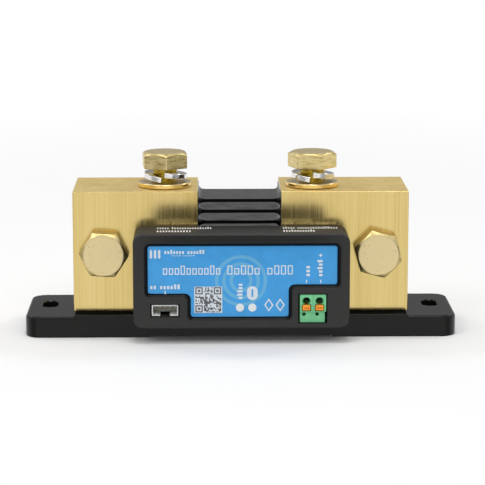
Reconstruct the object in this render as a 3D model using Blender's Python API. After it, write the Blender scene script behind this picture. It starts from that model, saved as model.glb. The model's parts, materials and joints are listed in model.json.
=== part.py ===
"""Battery monitor shunt.

Two brass terminal blocks stand on an insulating base and are joined by ten resistance blades. An
electronics housing with a printed label, a data socket and a push-in wire connector sits in front of
them. Each block takes one hexagon bolt from above and one in its front face.

Units are metres. +X is right, +Y is back and +Z is up. The origin is on the underside, below the
centre of the whole outline.
"""
import math

import bmesh
import bpy
from mathutils import Matrix, Vector

GAP = 0.0003                     # between pieces that touch
OVERSHOOT = 0.002                # how far a cutter runs past the face it opens

# Base plate
BASE_LENGTH = 0.170
BASE_FRONT = -0.0154
BACK = 0.0270                    # back faces of the base and of the blocks
EAR_TOP = 0.0084
PLINTH_TOP = 0.0091
PLINTH_HALF = 0.0660
BASE_CORNER = 0.006
BASE_EDGE = 0.0011
RELIEF_HALF = 0.0355             # the underside is relieved between the two feet
RELIEF_DEPTH = 0.00085
EAR_SLOT_X = 0.0765              # a slot runs front to back in each ear
EAR_SLOT_YS = (0.0058, 0.0114)   # centres of its round ends
EAR_SLOT_RADIUS = 0.0031

# Terminal blocks
BLOCK_SPANS = {"left": (-0.0660, -0.0169), "right": (0.0158, 0.0660)}
BLOCK_FRONT = -0.0095
BLOCK_BOTTOM = PLINTH_TOP + GAP
BLOCK_TOP = 0.0571
BLOCK_EDGE = 0.0002

# Resistance blades, let into shallow pockets in the blocks' inner faces
BLADE_COUNT = 10
BLADE_PITCH = 0.00433
BLADE_THICKNESS = 0.0013
BLADE_TOP = 0.05325
BLADE_FRONT = -0.0039
BLADE_BACK = 0.0211
BLADE_LET_IN = 0.0030
BLADE_EDGE = 0.00025

# M10 bolts and washers
BOLT_RADIUS = 0.00485
BOLT_HOLE_RADIUS = 0.00515
HEAD_ACROSS_FLATS = 0.0170
HEAD_HEIGHT = 0.0064
HEAD_FACE_RADIUS = 0.0079
TOP_BOLT_XS = {"left": -0.0300, "right": 0.0286}
TOP_BOLT_Y = 0.0049
TOP_BOLT_SEAT = 0.0647           # underside of the loosened heads
TOP_BOLT_LENGTH = 0.030
TOP_HOLE_DEPTH = 0.028
TOP_BOLT_TURNS = {"left": 5.5, "right": 20.5}       # degrees about the bolt's own axis
FRONT_BOLT_X = 0.0538
FRONT_BOLT_Z = 0.0330
FRONT_BOLT_LENGTH = 0.025
FRONT_HOLE_DEPTH = 0.028
FRONT_BOLT_TURNS = {"left": 26.4, "right": 15.0}
FLAT_WASHER_RADIUS = 0.0105
FLAT_WASHER_BORE = 0.0053
FLAT_WASHER_TOP = 0.0591
SPRING_WASHER_RADIUS = 0.0085
SPRING_WASHER_BORE = 0.0052
SPRING_WASHER_THICKNESS = 0.0022
SPRING_WASHER_BOTTOM = 0.05945
SPRING_WASHER_RISE = 0.0022
SPRING_WASHER_SPLIT = math.radians(8)
SPRING_WASHER_TURN = math.radians(-6)                # of the split, from straight ahead
SPRING_WASHER_TILT = math.radians(6.5)

# Screws that hold the blocks down, from under the base
BLOCK_SCREW_XS = (0.0230, 0.0590)
BLOCK_SCREW_Y = 0.0175
BLOCK_SCREW_RADIUS = 0.0024
BLOCK_SCREW_HEAD = 0.0046
BLOCK_SCREW_FACE = 0.0012        # the heads are sunk below the relieved underside
BLOCK_SCREW_CONE = 0.0022        # height of the countersunk head
BLOCK_SCREW_TOP = 0.0190
SCREW_CROSS = (0.0005, 0.0024, 0.0013)              # half width, half length and depth of the recess

# Electronics housing
HOUSING_HALF = 0.0420
HOUSING_FRONT = -0.0270
HOUSING_BACK = BLOCK_FRONT - GAP
HOUSING_BOTTOM = 0.0060
HOUSING_TOP = 0.0435
HOUSING_CORNER = 0.0040
HOUSING_EDGE = 0.0006
SHELL_WALL = 0.0018
STEP_FRONT = BASE_FRONT - GAP            # the shell steps over the base's front edge
STEP_HEIGHT = PLINTH_TOP + GAP
STEP_WALL = 0.0012
RECESS_DEPTH = 0.0022
RECESS_BEVEL = 0.0011
RECESS_CLEARANCE = 0.0003
POST_X = 0.0380
POST_Z = 0.0300
POST_RADIUS = 0.0022
POST_PILOT = 0.0012
POST_DEPTH = 0.0070
PLATE_THICKNESS = 0.0016
HOUSING_SCREW_HEAD = 0.0016
HOUSING_SCREW_RADIUS = 0.0009
HOUSING_SCREW_LENGTH = 0.0060

# Label: the outline's corners (x, z), anticlockwise from the lower left, and their radii
LABEL_THICKNESS = 0.0003
LABEL_LEFT = -0.0363
LABEL_RIGHT = 0.0371
LABEL_TOP = 0.03845
LABEL_BOTTOM = 0.0105
LABEL_LEFT_NOTCH = (-0.0197, 0.0197)
LABEL_RIGHT_NOTCH = (0.0183, 0.0232)
LABEL_CONVEX = 0.0010
LABEL_CONCAVE = 0.0023

# Indicator lights
LIGHT_XS = (-0.0006, 0.0042)
LIGHT_Z = 0.0141
LIGHT_RADIUS = 0.00165

# Data socket
SOCKET_X = -0.0297
SOCKET_Z = 0.01325
SOCKET_SIZE = (0.0103, 0.0044)
SOCKET_WALL = 0.0005
SOCKET_FRONT = -0.0262
SOCKET_CAVITY_DEPTH = 0.0085
SOCKET_NOTCH = 0.0038
SOCKET_OPENING = (0.0113, 0.0052)
PIN_PITCH = 0.0020
PIN_SIZE = 0.0005
PIN_FRONT = -0.0235

# Push-in wire connector
CONNECTOR_X = 0.0277
CONNECTOR_WIDTH = 0.0102
CONNECTOR_TOP = 0.0194
CONNECTOR_SPLIT = 0.01265
CONNECTOR_BOTTOM = 0.0082
CONNECTOR_FRONT = -0.0268
CONNECTOR_LOWER_FRONT = -0.0258
CONNECTOR_LOWER_BACK = -0.0182
CONNECTOR_STEP = 0.0004          # the lower part is narrower on the right
CONNECTOR_PITCH = 0.00508
CONNECTOR_CLEARANCE = 0.0004
WIRE_HOLE_Z = 0.0168
WIRE_HOLE_RADIUS = 0.0015
WIRE_HOLE_DEPTH = 0.0110
TEST_HOLE_Z = 0.01135
TEST_HOLE_RADIUS = 0.00065
TEST_HOLE_OFFSET = 0.0009
TEST_HOLE_DEPTH = 0.0040
LEVER_SIZE = (0.0031, 0.0055, 0.0021)
LEVER_Z = 0.0142
LEVER_FRONT = -0.0269
LEVER_TRAVEL = 0.0012
CLAMP_SIZE = (0.0018, 0.0004, 0.0019)

# Circuit board
BOARD_HALF = 0.0353
BOARD_BOTTOM = 0.0122
BOARD_TOP = 0.0405
BOARD_FRONT = -0.0140
BOARD_THICKNESS = 0.0016
SENSE_SCREW_X = 0.0290
SENSE_SCREW_Z = 0.0300
SENSE_SCREW_RADIUS = 0.0014
SENSE_SCREW_HEAD = 0.0027
SENSE_SCREW_HEAD_HEIGHT = 0.0018
SENSE_SCREW_REACH = 0.0060       # into the block
SENSE_HOLE_DEPTH = 0.0065
SENSE_SPACER_RADIUS = 0.0030
# name: (x, z of the middle, width, height, thickness)
BOARD_CHIPS = {
    "radio_module": (0.0080, 0.0335, 0.0120, 0.0090, 0.0020),
    "microcontroller": (-0.0100, 0.0330, 0.0070, 0.0070, 0.0010),
    "current_sense_amplifier": (-0.0100, 0.0220, 0.0050, 0.0040, 0.0014),
    "power_inductor": (0.0130, 0.0215, 0.0060, 0.0060, 0.0030),
}
CAPACITOR_RADIUS = 0.0025
CAPACITOR_LENGTH = 0.0050
CAPACITOR_XS = (-0.0010, 0.0060)
CAPACITOR_Z = 0.0230
LED_SIZE = (0.0026, 0.0010, 0.0020)

# name: (red, green, blue), roughness, metallic
FINISHES = {
    "brass": ((0.78, 0.60, 0.27), 0.35, 1.0),
    "black_gloss": ((0.012, 0.012, 0.013), 0.18, 0.0),
    "housing_plastic": ((0.045, 0.045, 0.043), 0.45, 0.0),
    "blade_paint": ((0.020, 0.020, 0.021), 0.22, 0.0),
    "spring_steel": ((0.72, 0.71, 0.69), 0.25, 1.0),
    "zinc_steel": ((0.62, 0.63, 0.65), 0.35, 1.0),
    "label_blue": ((0.07, 0.34, 0.72), 0.45, 0.0),
    "lens_white": ((0.85, 0.87, 0.88), 0.30, 0.0),
    "socket_grey": ((0.62, 0.64, 0.63), 0.50, 0.0),
    "connector_green": ((0.14, 0.58, 0.26), 0.45, 0.0),
    "lever_orange": ((0.92, 0.36, 0.03), 0.45, 0.0),
    "pin_gold": ((0.83, 0.66, 0.32), 0.25, 1.0),
    "board_green": ((0.02, 0.16, 0.07), 0.45, 0.0),
    "chip_black": ((0.03, 0.03, 0.03), 0.50, 0.0),
    "can_aluminium": ((0.70, 0.71, 0.73), 0.35, 1.0),
    "led_amber": ((0.90, 0.62, 0.25), 0.30, 0.0),
}

SIDES = {"left": -1, "right": 1}

parts = None                     # the two collections, made in main()
cutters = None


# ---------------------------------------------------------------- scene, materials and objects

def clear_scene():
    for obj in list(bpy.data.objects):
        bpy.data.objects.remove(obj, do_unlink=True)


def new_collection(name):
    collection = bpy.data.collections.new(name)
    bpy.context.scene.collection.children.link(collection)
    return collection


def finish_material(finish, name):
    colour, roughness, metallic = FINISHES[finish]
    material = bpy.data.materials.new(name)
    material.use_nodes = True
    shader = material.node_tree.nodes["Principled BSDF"]
    shader.inputs["Base Color"].default_value = (*colour, 1.0)
    shader.inputs["Roughness"].default_value = roughness
    shader.inputs["Metallic"].default_value = metallic
    return material


def add_part(name, mesh, finish, location=(0, 0, 0), rotation=(0, 0, 0), smooth=False):
    obj = bpy.data.objects.new(name, mesh)
    obj.location = location
    obj.rotation_euler = rotation
    if smooth:
        mesh.shade_smooth()
        mesh.set_sharp_from_angle(angle=math.radians(30))
    mesh.materials.append(finish_material(finish, name + "_material"))
    parts.objects.link(obj)
    return obj


def apply_boolean(obj, mesh, operation):
    """Cut obj with mesh, or join or intersect them. The mesh is in obj's own frame."""
    tool = bpy.data.objects.new(obj.name + "_tool", mesh)
    tool.location = obj.location
    tool.rotation_euler = obj.rotation_euler
    tool.hide_render = True
    tool.display_type = "WIRE"
    cutters.objects.link(tool)
    modifier = obj.modifiers.new(operation.title(), "BOOLEAN")
    modifier.operation = operation
    modifier.solver = "EXACT"
    modifier.object = tool


def cut(obj, *meshes):
    for mesh in meshes:
        apply_boolean(obj, mesh, "DIFFERENCE")


def join(obj, *meshes):
    for mesh in meshes:
        apply_boolean(obj, mesh, "UNION")


# ---------------------------------------------------------------- shapes

def to_mesh(shape):
    bmesh.ops.recalc_face_normals(shape, faces=shape.faces)
    mesh = bpy.data.meshes.new("shape")
    shape.to_mesh(mesh)
    shape.free()
    return mesh


def box(low, high, bevel=0.0):
    low, high = Vector(low), Vector(high)
    size = high - low
    shape = bmesh.new()
    placed = Matrix.Translation((low + high) / 2) @ Matrix.Diagonal((*size, 1.0))
    bmesh.ops.create_cube(shape, size=1.0, matrix=placed)
    if bevel:
        bmesh.ops.bevel(shape, geom=shape.edges[:], offset=bevel, segments=1, affect="EDGES")
    return to_mesh(shape)


def boxes(pairs):
    """Several boxes that don't touch, as one cutting mesh."""
    shape = bmesh.new()
    for low, high in pairs:
        low, high = Vector(low), Vector(high)
        placed = Matrix.Translation((low + high) / 2) @ Matrix.Diagonal((*(high - low), 1.0))
        bmesh.ops.create_cube(shape, size=1.0, matrix=placed)
    return to_mesh(shape)


def cone(start, end, start_radius, end_radius, segments=24):
    start, end = Vector(start), Vector(end)
    shape = bmesh.new()
    turned = (end - start).to_track_quat("Z", "Y").to_matrix().to_4x4()
    placed = Matrix.Translation((start + end) / 2) @ turned
    bmesh.ops.create_cone(shape, cap_ends=True, segments=segments, radius1=start_radius,
                          radius2=end_radius, depth=(end - start).length, matrix=placed)
    return to_mesh(shape)


def cylinder(start, end, radius, segments=24):
    return cone(start, end, radius, radius, segments)


def corner_frame(corners, index):
    """The two unit vectors along a corner's sides, half its angle, and 1 if it is convex, else -1."""
    here = Vector(corners[index])
    back = (Vector(corners[index - 1]) - here).normalized()
    ahead = (Vector(corners[(index + 1) % len(corners)]) - here).normalized()
    turn = 1 if (-back).cross(ahead) > 0 else -1
    return back, ahead, back.angle(ahead) / 2, turn


def offset_corners(corners, radii, distance):
    """Move an anticlockwise outline outwards; convex radii grow and concave ones shrink."""
    moved, grown = [], []
    for index, corner in enumerate(corners):
        back, ahead, half_angle, turn = corner_frame(corners, index)
        outward = -turn * (back + ahead).normalized()
        moved.append(tuple(Vector(corner) + outward * distance / math.sin(half_angle)))
        grown.append(radii[index] + turn * distance)
    return moved, grown


def rounded_outline(corners, radii, steps=4):
    """The points of an anticlockwise outline whose corners are arcs."""
    points = []
    for index, corner in enumerate(corners):
        back, ahead, half_angle, turn = corner_frame(corners, index)
        radius = radii[index]
        centre = Vector(corner) + (back + ahead).normalized() * radius / math.sin(half_angle)
        first = Vector(corner) + back * radius / math.tan(half_angle) - centre
        sweep = turn * (math.pi - 2 * half_angle)
        for step in range(steps + 1):
            arm = first.copy()
            arm.rotate(Matrix.Rotation(sweep * step / steps, 2))
            points.append(tuple(centre + arm))
    return points


def rectangle(half_width, low, high, middle=0.0):
    left, right = middle - half_width, middle + half_width
    return [(left, low), (right, low), (right, high), (left, high)]


def plate(points, near, far, upright=True):
    """A plate of an (x, z) outline between two values of y, or lying, of (x, y) between two of z."""
    curve = bpy.data.curves.new("plate", "CURVE")
    curve.dimensions = "2D"
    curve.fill_mode = "BOTH"
    curve.extrude = (far - near) / 2
    spline = curve.splines.new("POLY")
    spline.points.add(len(points) - 1)
    for point, place in zip(spline.points, points):
        point.co = (*place, 0, 1)
    spline.use_cyclic_u = True
    flat = bpy.data.objects.new("plate", curve)
    cutters.objects.link(flat)
    mesh = bpy.data.meshes.new_from_object(flat.evaluated_get(bpy.context.evaluated_depsgraph_get()))
    bpy.data.objects.remove(flat)
    shape = bmesh.new()
    shape.from_mesh(mesh)
    bmesh.ops.remove_doubles(shape, verts=shape.verts, dist=1e-6)
    middle = (near + far) / 2
    placed = Matrix.Translation((0, 0, middle))
    if upright:
        placed = Matrix.Translation((0, middle, 0)) @ Matrix.Rotation(math.pi / 2, 4, "X")
    bmesh.ops.transform(shape, matrix=placed, verts=shape.verts)
    return to_mesh(shape)


def loft(sections):
    """A closed body through (x, z) outlines of equal length, given as (y, points) pairs."""
    shape = bmesh.new()
    rings = [[shape.verts.new((x, y, z)) for x, z in points] for y, points in sections]
    for near, far in zip(rings, rings[1:]):
        for index in range(len(near)):
            following = (index + 1) % len(near)
            shape.faces.new((near[index], near[following], far[following], far[index]))
    shape.faces.new(rings[0])
    shape.faces.new(rings[-1])
    return to_mesh(shape)


def bevel_where(mesh, chosen, width, segments):
    """Round the edges whose two ends both satisfy chosen(position)."""
    shape = bmesh.new()
    shape.from_mesh(mesh)
    edges = [edge for edge in shape.edges if all(chosen(vert.co) for vert in edge.verts)
             and len(edge.link_faces) == 2 and edge.calc_face_angle() > math.radians(50)]
    bmesh.ops.bevel(shape, geom=edges, offset=width, segments=segments, affect="EDGES", profile=0.5)
    return to_mesh(shape)


# ---------------------------------------------------------------- base, blocks and blades

def block_screw_places():
    return [(side * x, BLOCK_SCREW_Y) for side in SIDES.values() for x in BLOCK_SCREW_XS]


def make_base():
    corners = [(-BASE_LENGTH / 2, BASE_FRONT), (BASE_LENGTH / 2, BASE_FRONT),
               (BASE_LENGTH / 2, BACK), (-BASE_LENGTH / 2, BACK)]
    points = rounded_outline(corners, [BASE_CORNER] * 4, steps=5)
    mesh = plate(points, 0, EAR_TOP, upright=False)
    mesh = bevel_where(mesh, lambda place: place.z > EAR_TOP - 1e-5, BASE_EDGE, 2)
    base = add_part("base_plate", mesh, "black_gloss")
    join(base, box((-PLINTH_HALF, BASE_FRONT, EAR_TOP / 2), (PLINTH_HALF, BACK, PLINTH_TOP)))
    cut(base, box((-RELIEF_HALF, BASE_FRONT - OVERSHOOT, -OVERSHOOT),
                  (RELIEF_HALF, BACK + OVERSHOOT, RELIEF_DEPTH)))
    near, far = EAR_SLOT_YS
    for side in SIDES.values():
        corners = rectangle(EAR_SLOT_RADIUS, near - EAR_SLOT_RADIUS, far + EAR_SLOT_RADIUS,
                            side * EAR_SLOT_X)
        slot = rounded_outline(corners, [EAR_SLOT_RADIUS * 0.998] * 4, steps=8)
        cut(base, plate(slot, -OVERSHOOT, EAR_TOP + OVERSHOOT, upright=False))
    for x, y in block_screw_places():
        seat = BLOCK_SCREW_FACE
        cut(base, cylinder((x, y, -OVERSHOOT), (x, y, PLINTH_TOP + OVERSHOOT),
                           BLOCK_SCREW_RADIUS + GAP),
            cylinder((x, y, -OVERSHOOT), (x, y, seat + GAP), BLOCK_SCREW_HEAD + GAP),
            cone((x, y, seat), (x, y, seat + BLOCK_SCREW_CONE + GAP),
                 BLOCK_SCREW_HEAD + GAP, BLOCK_SCREW_RADIUS + GAP))


def make_blocks():
    for name, side in SIDES.items():
        left, right = BLOCK_SPANS[name]
        block = add_part("terminal_block_" + name,
                         box((left, BLOCK_FRONT, BLOCK_BOTTOM), (right, BACK, BLOCK_TOP), BLOCK_EDGE),
                         "brass")
        inner = right if side < 0 else left
        top_x = TOP_BOLT_XS[name]
        front_x = side * FRONT_BOLT_X
        sense_x = side * SENSE_SCREW_X
        cut(block,
            cylinder((top_x, TOP_BOLT_Y, BLOCK_TOP - TOP_HOLE_DEPTH),
                     (top_x, TOP_BOLT_Y, BLOCK_TOP + OVERSHOOT), BOLT_HOLE_RADIUS, 32),
            cylinder((front_x, BLOCK_FRONT + FRONT_HOLE_DEPTH, FRONT_BOLT_Z),
                     (front_x, BLOCK_FRONT - OVERSHOOT, FRONT_BOLT_Z), BOLT_HOLE_RADIUS, 32),
            cylinder((sense_x, BLOCK_FRONT + SENSE_HOLE_DEPTH, SENSE_SCREW_Z),
                     (sense_x, BLOCK_FRONT - OVERSHOOT, SENSE_SCREW_Z), SENSE_SCREW_RADIUS + GAP, 16))
        for x, y in block_screw_places():
            if x * side > 0:
                cut(block, cylinder((x, y, BLOCK_BOTTOM - OVERSHOOT), (x, y, BLOCK_SCREW_TOP + GAP),
                                    BLOCK_SCREW_RADIUS + GAP))
        pockets = []
        for top in blade_tops():
            ends = sorted((inner - side * OVERSHOOT, inner + side * (BLADE_LET_IN + GAP)))
            pockets.append(((ends[0], BLADE_FRONT - GAP, top - BLADE_THICKNESS - GAP),
                            (ends[1], BLADE_BACK + GAP, top + GAP)))
        cut(block, boxes(pockets))


def blade_tops():
    return [BLADE_TOP - index * BLADE_PITCH for index in range(BLADE_COUNT)]


def make_blades():
    left = BLOCK_SPANS["left"][1] - BLADE_LET_IN
    right = BLOCK_SPANS["right"][0] + BLADE_LET_IN
    for number, top in enumerate(blade_tops(), start=1):
        mesh = box((left, BLADE_FRONT, top - BLADE_THICKNESS), (right, BLADE_BACK, top), BLADE_EDGE)
        add_part(f"resistance_blade_{number:02d}", mesh, "blade_paint")


def make_block_screws():
    for number, (x, y) in enumerate(block_screw_places(), start=1):
        head = cone((0, 0, 0), (0, 0, BLOCK_SCREW_CONE), BLOCK_SCREW_HEAD, BLOCK_SCREW_RADIUS)
        screw = add_part(f"block_screw_{number}", head, "zinc_steel", (x, y, BLOCK_SCREW_FACE),
                         smooth=True)
        length = BLOCK_SCREW_TOP - BLOCK_SCREW_FACE
        join(screw, cylinder((0, 0, BLOCK_SCREW_CONE / 2), (0, 0, length), BLOCK_SCREW_RADIUS))
        half_wide, half_long, depth = SCREW_CROSS
        cut(screw, box((-half_wide, -half_long, -OVERSHOOT), (half_wide, half_long, depth)),
            box((-half_long, -half_wide, -OVERSHOOT), (half_long, half_wide, depth)))


# ---------------------------------------------------------------- bolts and washers

def make_bolt(name, length, turn, location, rotation):
    """A hexagon bolt with its head above z = 0 and its shank below, in its own frame."""
    corner_radius = HEAD_ACROSS_FLATS / 2 / math.cos(math.pi / 6)
    head = cylinder((0, 0, 0), (0, 0, HEAD_HEIGHT), corner_radius, 6)
    head.transform(Matrix.Rotation(math.radians(turn), 4, "Z"))
    bolt = add_part(name, head, "brass", location, rotation)
    # the chamfer at 30 degrees leaves a round face on the hexagon
    slope = HEAD_HEIGHT / math.tan(math.pi / 6)
    chamfer = cone((0, 0, 0), (0, 0, HEAD_HEIGHT), HEAD_FACE_RADIUS + slope, HEAD_FACE_RADIUS, 48)
    apply_boolean(bolt, chamfer, "INTERSECT")
    join(bolt, cylinder((0, 0, -length), (0, 0, HEAD_HEIGHT / 2), BOLT_RADIUS, 32))


def make_spring_washer(name, location):
    """A split ring whose rectangular section climbs clockwise, seen from above, round the bolt."""
    shape = bmesh.new()
    front = Matrix.Rotation(SPRING_WASHER_TURN - SPRING_WASHER_SPLIT / 2, 4, "Z")
    section = [(0, -SPRING_WASHER_BORE, 0), (0, -SPRING_WASHER_RADIUS, 0),
               (0, -SPRING_WASHER_RADIUS, SPRING_WASHER_THICKNESS),
               (0, -SPRING_WASHER_BORE, SPRING_WASHER_THICKNESS)]
    face = shape.faces.new([shape.verts.new(front @ Vector(corner)) for corner in section])
    steps = 36
    bmesh.ops.spin(shape, geom=[face, *face.edges, *face.verts], cent=(0, 0, 0), axis=(0, 0, 1),
                   dvec=(0, 0, SPRING_WASHER_RISE / steps), steps=steps,
                   angle=-(2 * math.pi - SPRING_WASHER_SPLIT), use_duplicate=False)
    bmesh.ops.transform(shape, matrix=Matrix.Rotation(SPRING_WASHER_TILT, 4, "Y"), verts=shape.verts)
    lowest = min(vert.co.z for vert in shape.verts)
    bmesh.ops.translate(shape, vec=(0, 0, -lowest), verts=shape.verts)
    add_part(name, to_mesh(shape), "spring_steel", location, smooth=True)


def make_bolts():
    for name, side in SIDES.items():
        x = TOP_BOLT_XS[name]
        make_bolt("top_bolt_" + name, TOP_BOLT_LENGTH, TOP_BOLT_TURNS[name],
                  (x, TOP_BOLT_Y, TOP_BOLT_SEAT), (0, 0, 0))
        make_bolt("front_bolt_" + name, FRONT_BOLT_LENGTH, FRONT_BOLT_TURNS[name],
                  (side * FRONT_BOLT_X, BLOCK_FRONT - GAP, FRONT_BOLT_Z), (math.pi / 2, 0, 0))
        make_spring_washer("spring_washer_" + name, (x, TOP_BOLT_Y, SPRING_WASHER_BOTTOM))
        low = BLOCK_TOP + GAP
        washer = add_part("flat_washer_" + name,
                          cylinder((0, 0, 0), (0, 0, FLAT_WASHER_TOP - low), FLAT_WASHER_RADIUS, 48),
                          "brass", (x, TOP_BOLT_Y, low), smooth=True)
        cut(washer, cylinder((0, 0, -OVERSHOOT), (0, 0, FLAT_WASHER_TOP - low + OVERSHOOT),
                             FLAT_WASHER_BORE, 32))


# ---------------------------------------------------------------- housing

def label_outline(outset=0.0):
    left_x, left_z = LABEL_LEFT_NOTCH
    right_x, right_z = LABEL_RIGHT_NOTCH
    corners = [(LABEL_LEFT, left_z), (left_x, left_z), (left_x, LABEL_BOTTOM),
               (right_x, LABEL_BOTTOM), (right_x, right_z), (LABEL_RIGHT, right_z),
               (LABEL_RIGHT, LABEL_TOP), (LABEL_LEFT, LABEL_TOP)]
    radii = [LABEL_CONVEX, LABEL_CONCAVE, LABEL_CONVEX, LABEL_CONVEX,
             LABEL_CONCAVE, LABEL_CONVEX, LABEL_CONVEX, LABEL_CONVEX]
    return rounded_outline(*offset_corners(corners, radii, outset))


def make_shell():
    outline = rounded_outline(rectangle(HOUSING_HALF, HOUSING_BOTTOM, HOUSING_TOP), [HOUSING_CORNER] * 4)
    mesh = plate(outline, HOUSING_FRONT, HOUSING_BACK)
    mesh = bevel_where(mesh, lambda place: place.y < HOUSING_FRONT + 1e-5, HOUSING_EDGE, 2)
    shell = add_part("housing_shell", mesh, "housing_plastic")
    cut(shell, box((-HOUSING_HALF - OVERSHOOT, STEP_FRONT, HOUSING_BOTTOM - OVERSHOOT),
                   (HOUSING_HALF + OVERSHOOT, HOUSING_BACK + OVERSHOOT, STEP_HEIGHT)))
    inner = HOUSING_HALF - SHELL_WALL
    ceiling = HOUSING_TOP - SHELL_WALL
    corner = HOUSING_CORNER - SHELL_WALL
    floor = HOUSING_BOTTOM + SHELL_WALL
    wall_back = HOUSING_FRONT + RECESS_DEPTH + SHELL_WALL
    front_room = rounded_outline(rectangle(inner, floor, ceiling), [corner] * 4)
    back_room = rounded_outline(rectangle(inner, STEP_HEIGHT + STEP_WALL, ceiling), [corner] * 4)
    cut(shell, plate(front_room, wall_back, STEP_FRONT - SHELL_WALL),
        plate(back_room, wall_back + OVERSHOOT, HOUSING_BACK + OVERSHOOT))
    # the sunk field that takes the label, with sloping sides
    slope_end = HOUSING_FRONT + RECESS_BEVEL
    wide = RECESS_CLEARANCE + RECESS_BEVEL
    cut(shell, loft([(HOUSING_FRONT - OVERSHOOT, label_outline(wide)),
                     (HOUSING_FRONT, label_outline(wide)),
                     (slope_end, label_outline(RECESS_CLEARANCE)),
                     (HOUSING_FRONT + RECESS_DEPTH, label_outline(RECESS_CLEARANCE))]))
    half_width, half_height = SOCKET_OPENING[0] / 2, SOCKET_OPENING[1] / 2
    connector_half = CONNECTOR_WIDTH / 2 + CONNECTOR_CLEARANCE
    front, back = HOUSING_FRONT - OVERSHOOT, wall_back + OVERSHOOT
    cut(shell, box((SOCKET_X - half_width, front, SOCKET_Z - half_height),
                   (SOCKET_X + half_width, back, SOCKET_Z + half_height)),
        box((CONNECTOR_X - connector_half, front, CONNECTOR_BOTTOM - GAP / 2),
            (CONNECTOR_X + connector_half, back, CONNECTOR_TOP + CONNECTOR_CLEARANCE)))
    for x in LIGHT_XS:
        cut(shell, cylinder((x, front, LIGHT_Z), (x, back, LIGHT_Z), LIGHT_RADIUS + GAP))
    post_end = HOUSING_BACK - PLATE_THICKNESS - GAP
    for side in SIDES.values():
        x = side * POST_X
        join(shell, cylinder((x, wall_back - SHELL_WALL / 2, POST_Z), (x, post_end, POST_Z), POST_RADIUS))
    for side in SIDES.values():
        x = side * POST_X
        cut(shell, cylinder((x, post_end - POST_DEPTH, POST_Z), (x, post_end + OVERSHOOT, POST_Z),
                            POST_PILOT, 12))


def make_housing_back():
    half = HOUSING_HALF - SHELL_WALL - GAP
    low = STEP_HEIGHT + STEP_WALL + GAP
    high = HOUSING_TOP - SHELL_WALL - GAP
    outline = rounded_outline(rectangle(half, low, high), [HOUSING_CORNER - SHELL_WALL] * 4)
    front = HOUSING_BACK - PLATE_THICKNESS
    back_plate = add_part("housing_back", plate(outline, front, HOUSING_BACK), "housing_plastic")
    near, far = front - OVERSHOOT, HOUSING_BACK + OVERSHOOT
    for side in SIDES.values():
        cut(back_plate,
            cylinder((side * SENSE_SCREW_X, near, SENSE_SCREW_Z),
                     (side * SENSE_SCREW_X, far, SENSE_SCREW_Z), SENSE_SPACER_RADIUS + GAP),
            cylinder((side * POST_X, near, POST_Z), (side * POST_X, far, POST_Z), POST_PILOT, 12),
            cylinder((side * POST_X, front + PLATE_THICKNESS / 2 - GAP, POST_Z),
                     (side * POST_X, far, POST_Z), HOUSING_SCREW_HEAD + GAP, 16))


def make_housing_screws():
    seat = HOUSING_BACK - PLATE_THICKNESS / 2
    for name, side in SIDES.items():
        screw = add_part("housing_screw_" + name,
                         cylinder((0, seat, 0), (0, HOUSING_BACK - GAP / 2, 0), HOUSING_SCREW_HEAD, 16),
                         "zinc_steel", (side * POST_X, 0, POST_Z), smooth=True)
        join(screw, cylinder((0, seat - HOUSING_SCREW_LENGTH, 0), (0, seat + GAP, 0),
                             HOUSING_SCREW_RADIUS, 12))


def make_label():
    front = HOUSING_FRONT + RECESS_DEPTH - GAP - LABEL_THICKNESS
    label = add_part("label", plate(label_outline(), front, front + LABEL_THICKNESS), "label_blue")
    for x in LIGHT_XS:
        cut(label, cylinder((x, front - OVERSHOOT, LIGHT_Z), (x, front + OVERSHOOT, LIGHT_Z),
                            LIGHT_RADIUS + GAP))


# ---------------------------------------------------------------- sockets and connector

def make_data_socket():
    width, height = SOCKET_SIZE
    low = Vector((SOCKET_X - width / 2, SOCKET_FRONT, SOCKET_Z - height / 2))
    high = Vector((SOCKET_X + width / 2, BOARD_FRONT - GAP, SOCKET_Z + height / 2))
    socket = add_part("data_socket", box(low, high), "socket_grey")
    mouth = SOCKET_FRONT - OVERSHOOT
    cavity_end = SOCKET_FRONT + SOCKET_CAVITY_DEPTH
    cut(socket,
        box((low.x + SOCKET_WALL, mouth, low.z + SOCKET_WALL),
            (high.x - SOCKET_WALL, cavity_end, high.z - SOCKET_WALL)),
        box((SOCKET_X - SOCKET_NOTCH / 2, mouth, low.z - OVERSHOOT),
            (SOCKET_X + SOCKET_NOTCH / 2, cavity_end - SOCKET_WALL, low.z + SOCKET_WALL * 2)))
    for number in range(4):
        x = SOCKET_X + (number - 1.5) * PIN_PITCH
        room = PIN_SIZE / 2 + GAP / 2
        cut(socket, box((x - room, cavity_end - OVERSHOOT, SOCKET_Z - room),
                        (x + room, high.y + OVERSHOOT, SOCKET_Z + room)))
        add_part(f"data_socket_pin_{number + 1}",
                 box((x - PIN_SIZE / 2, PIN_FRONT, SOCKET_Z - PIN_SIZE / 2),
                     (x + PIN_SIZE / 2, BOARD_FRONT - GAP, SOCKET_Z + PIN_SIZE / 2)),
                 "pin_gold")


def wire_ways():
    return [CONNECTOR_X + offset * CONNECTOR_PITCH / 2 for offset in (-1, 1)]


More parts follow.
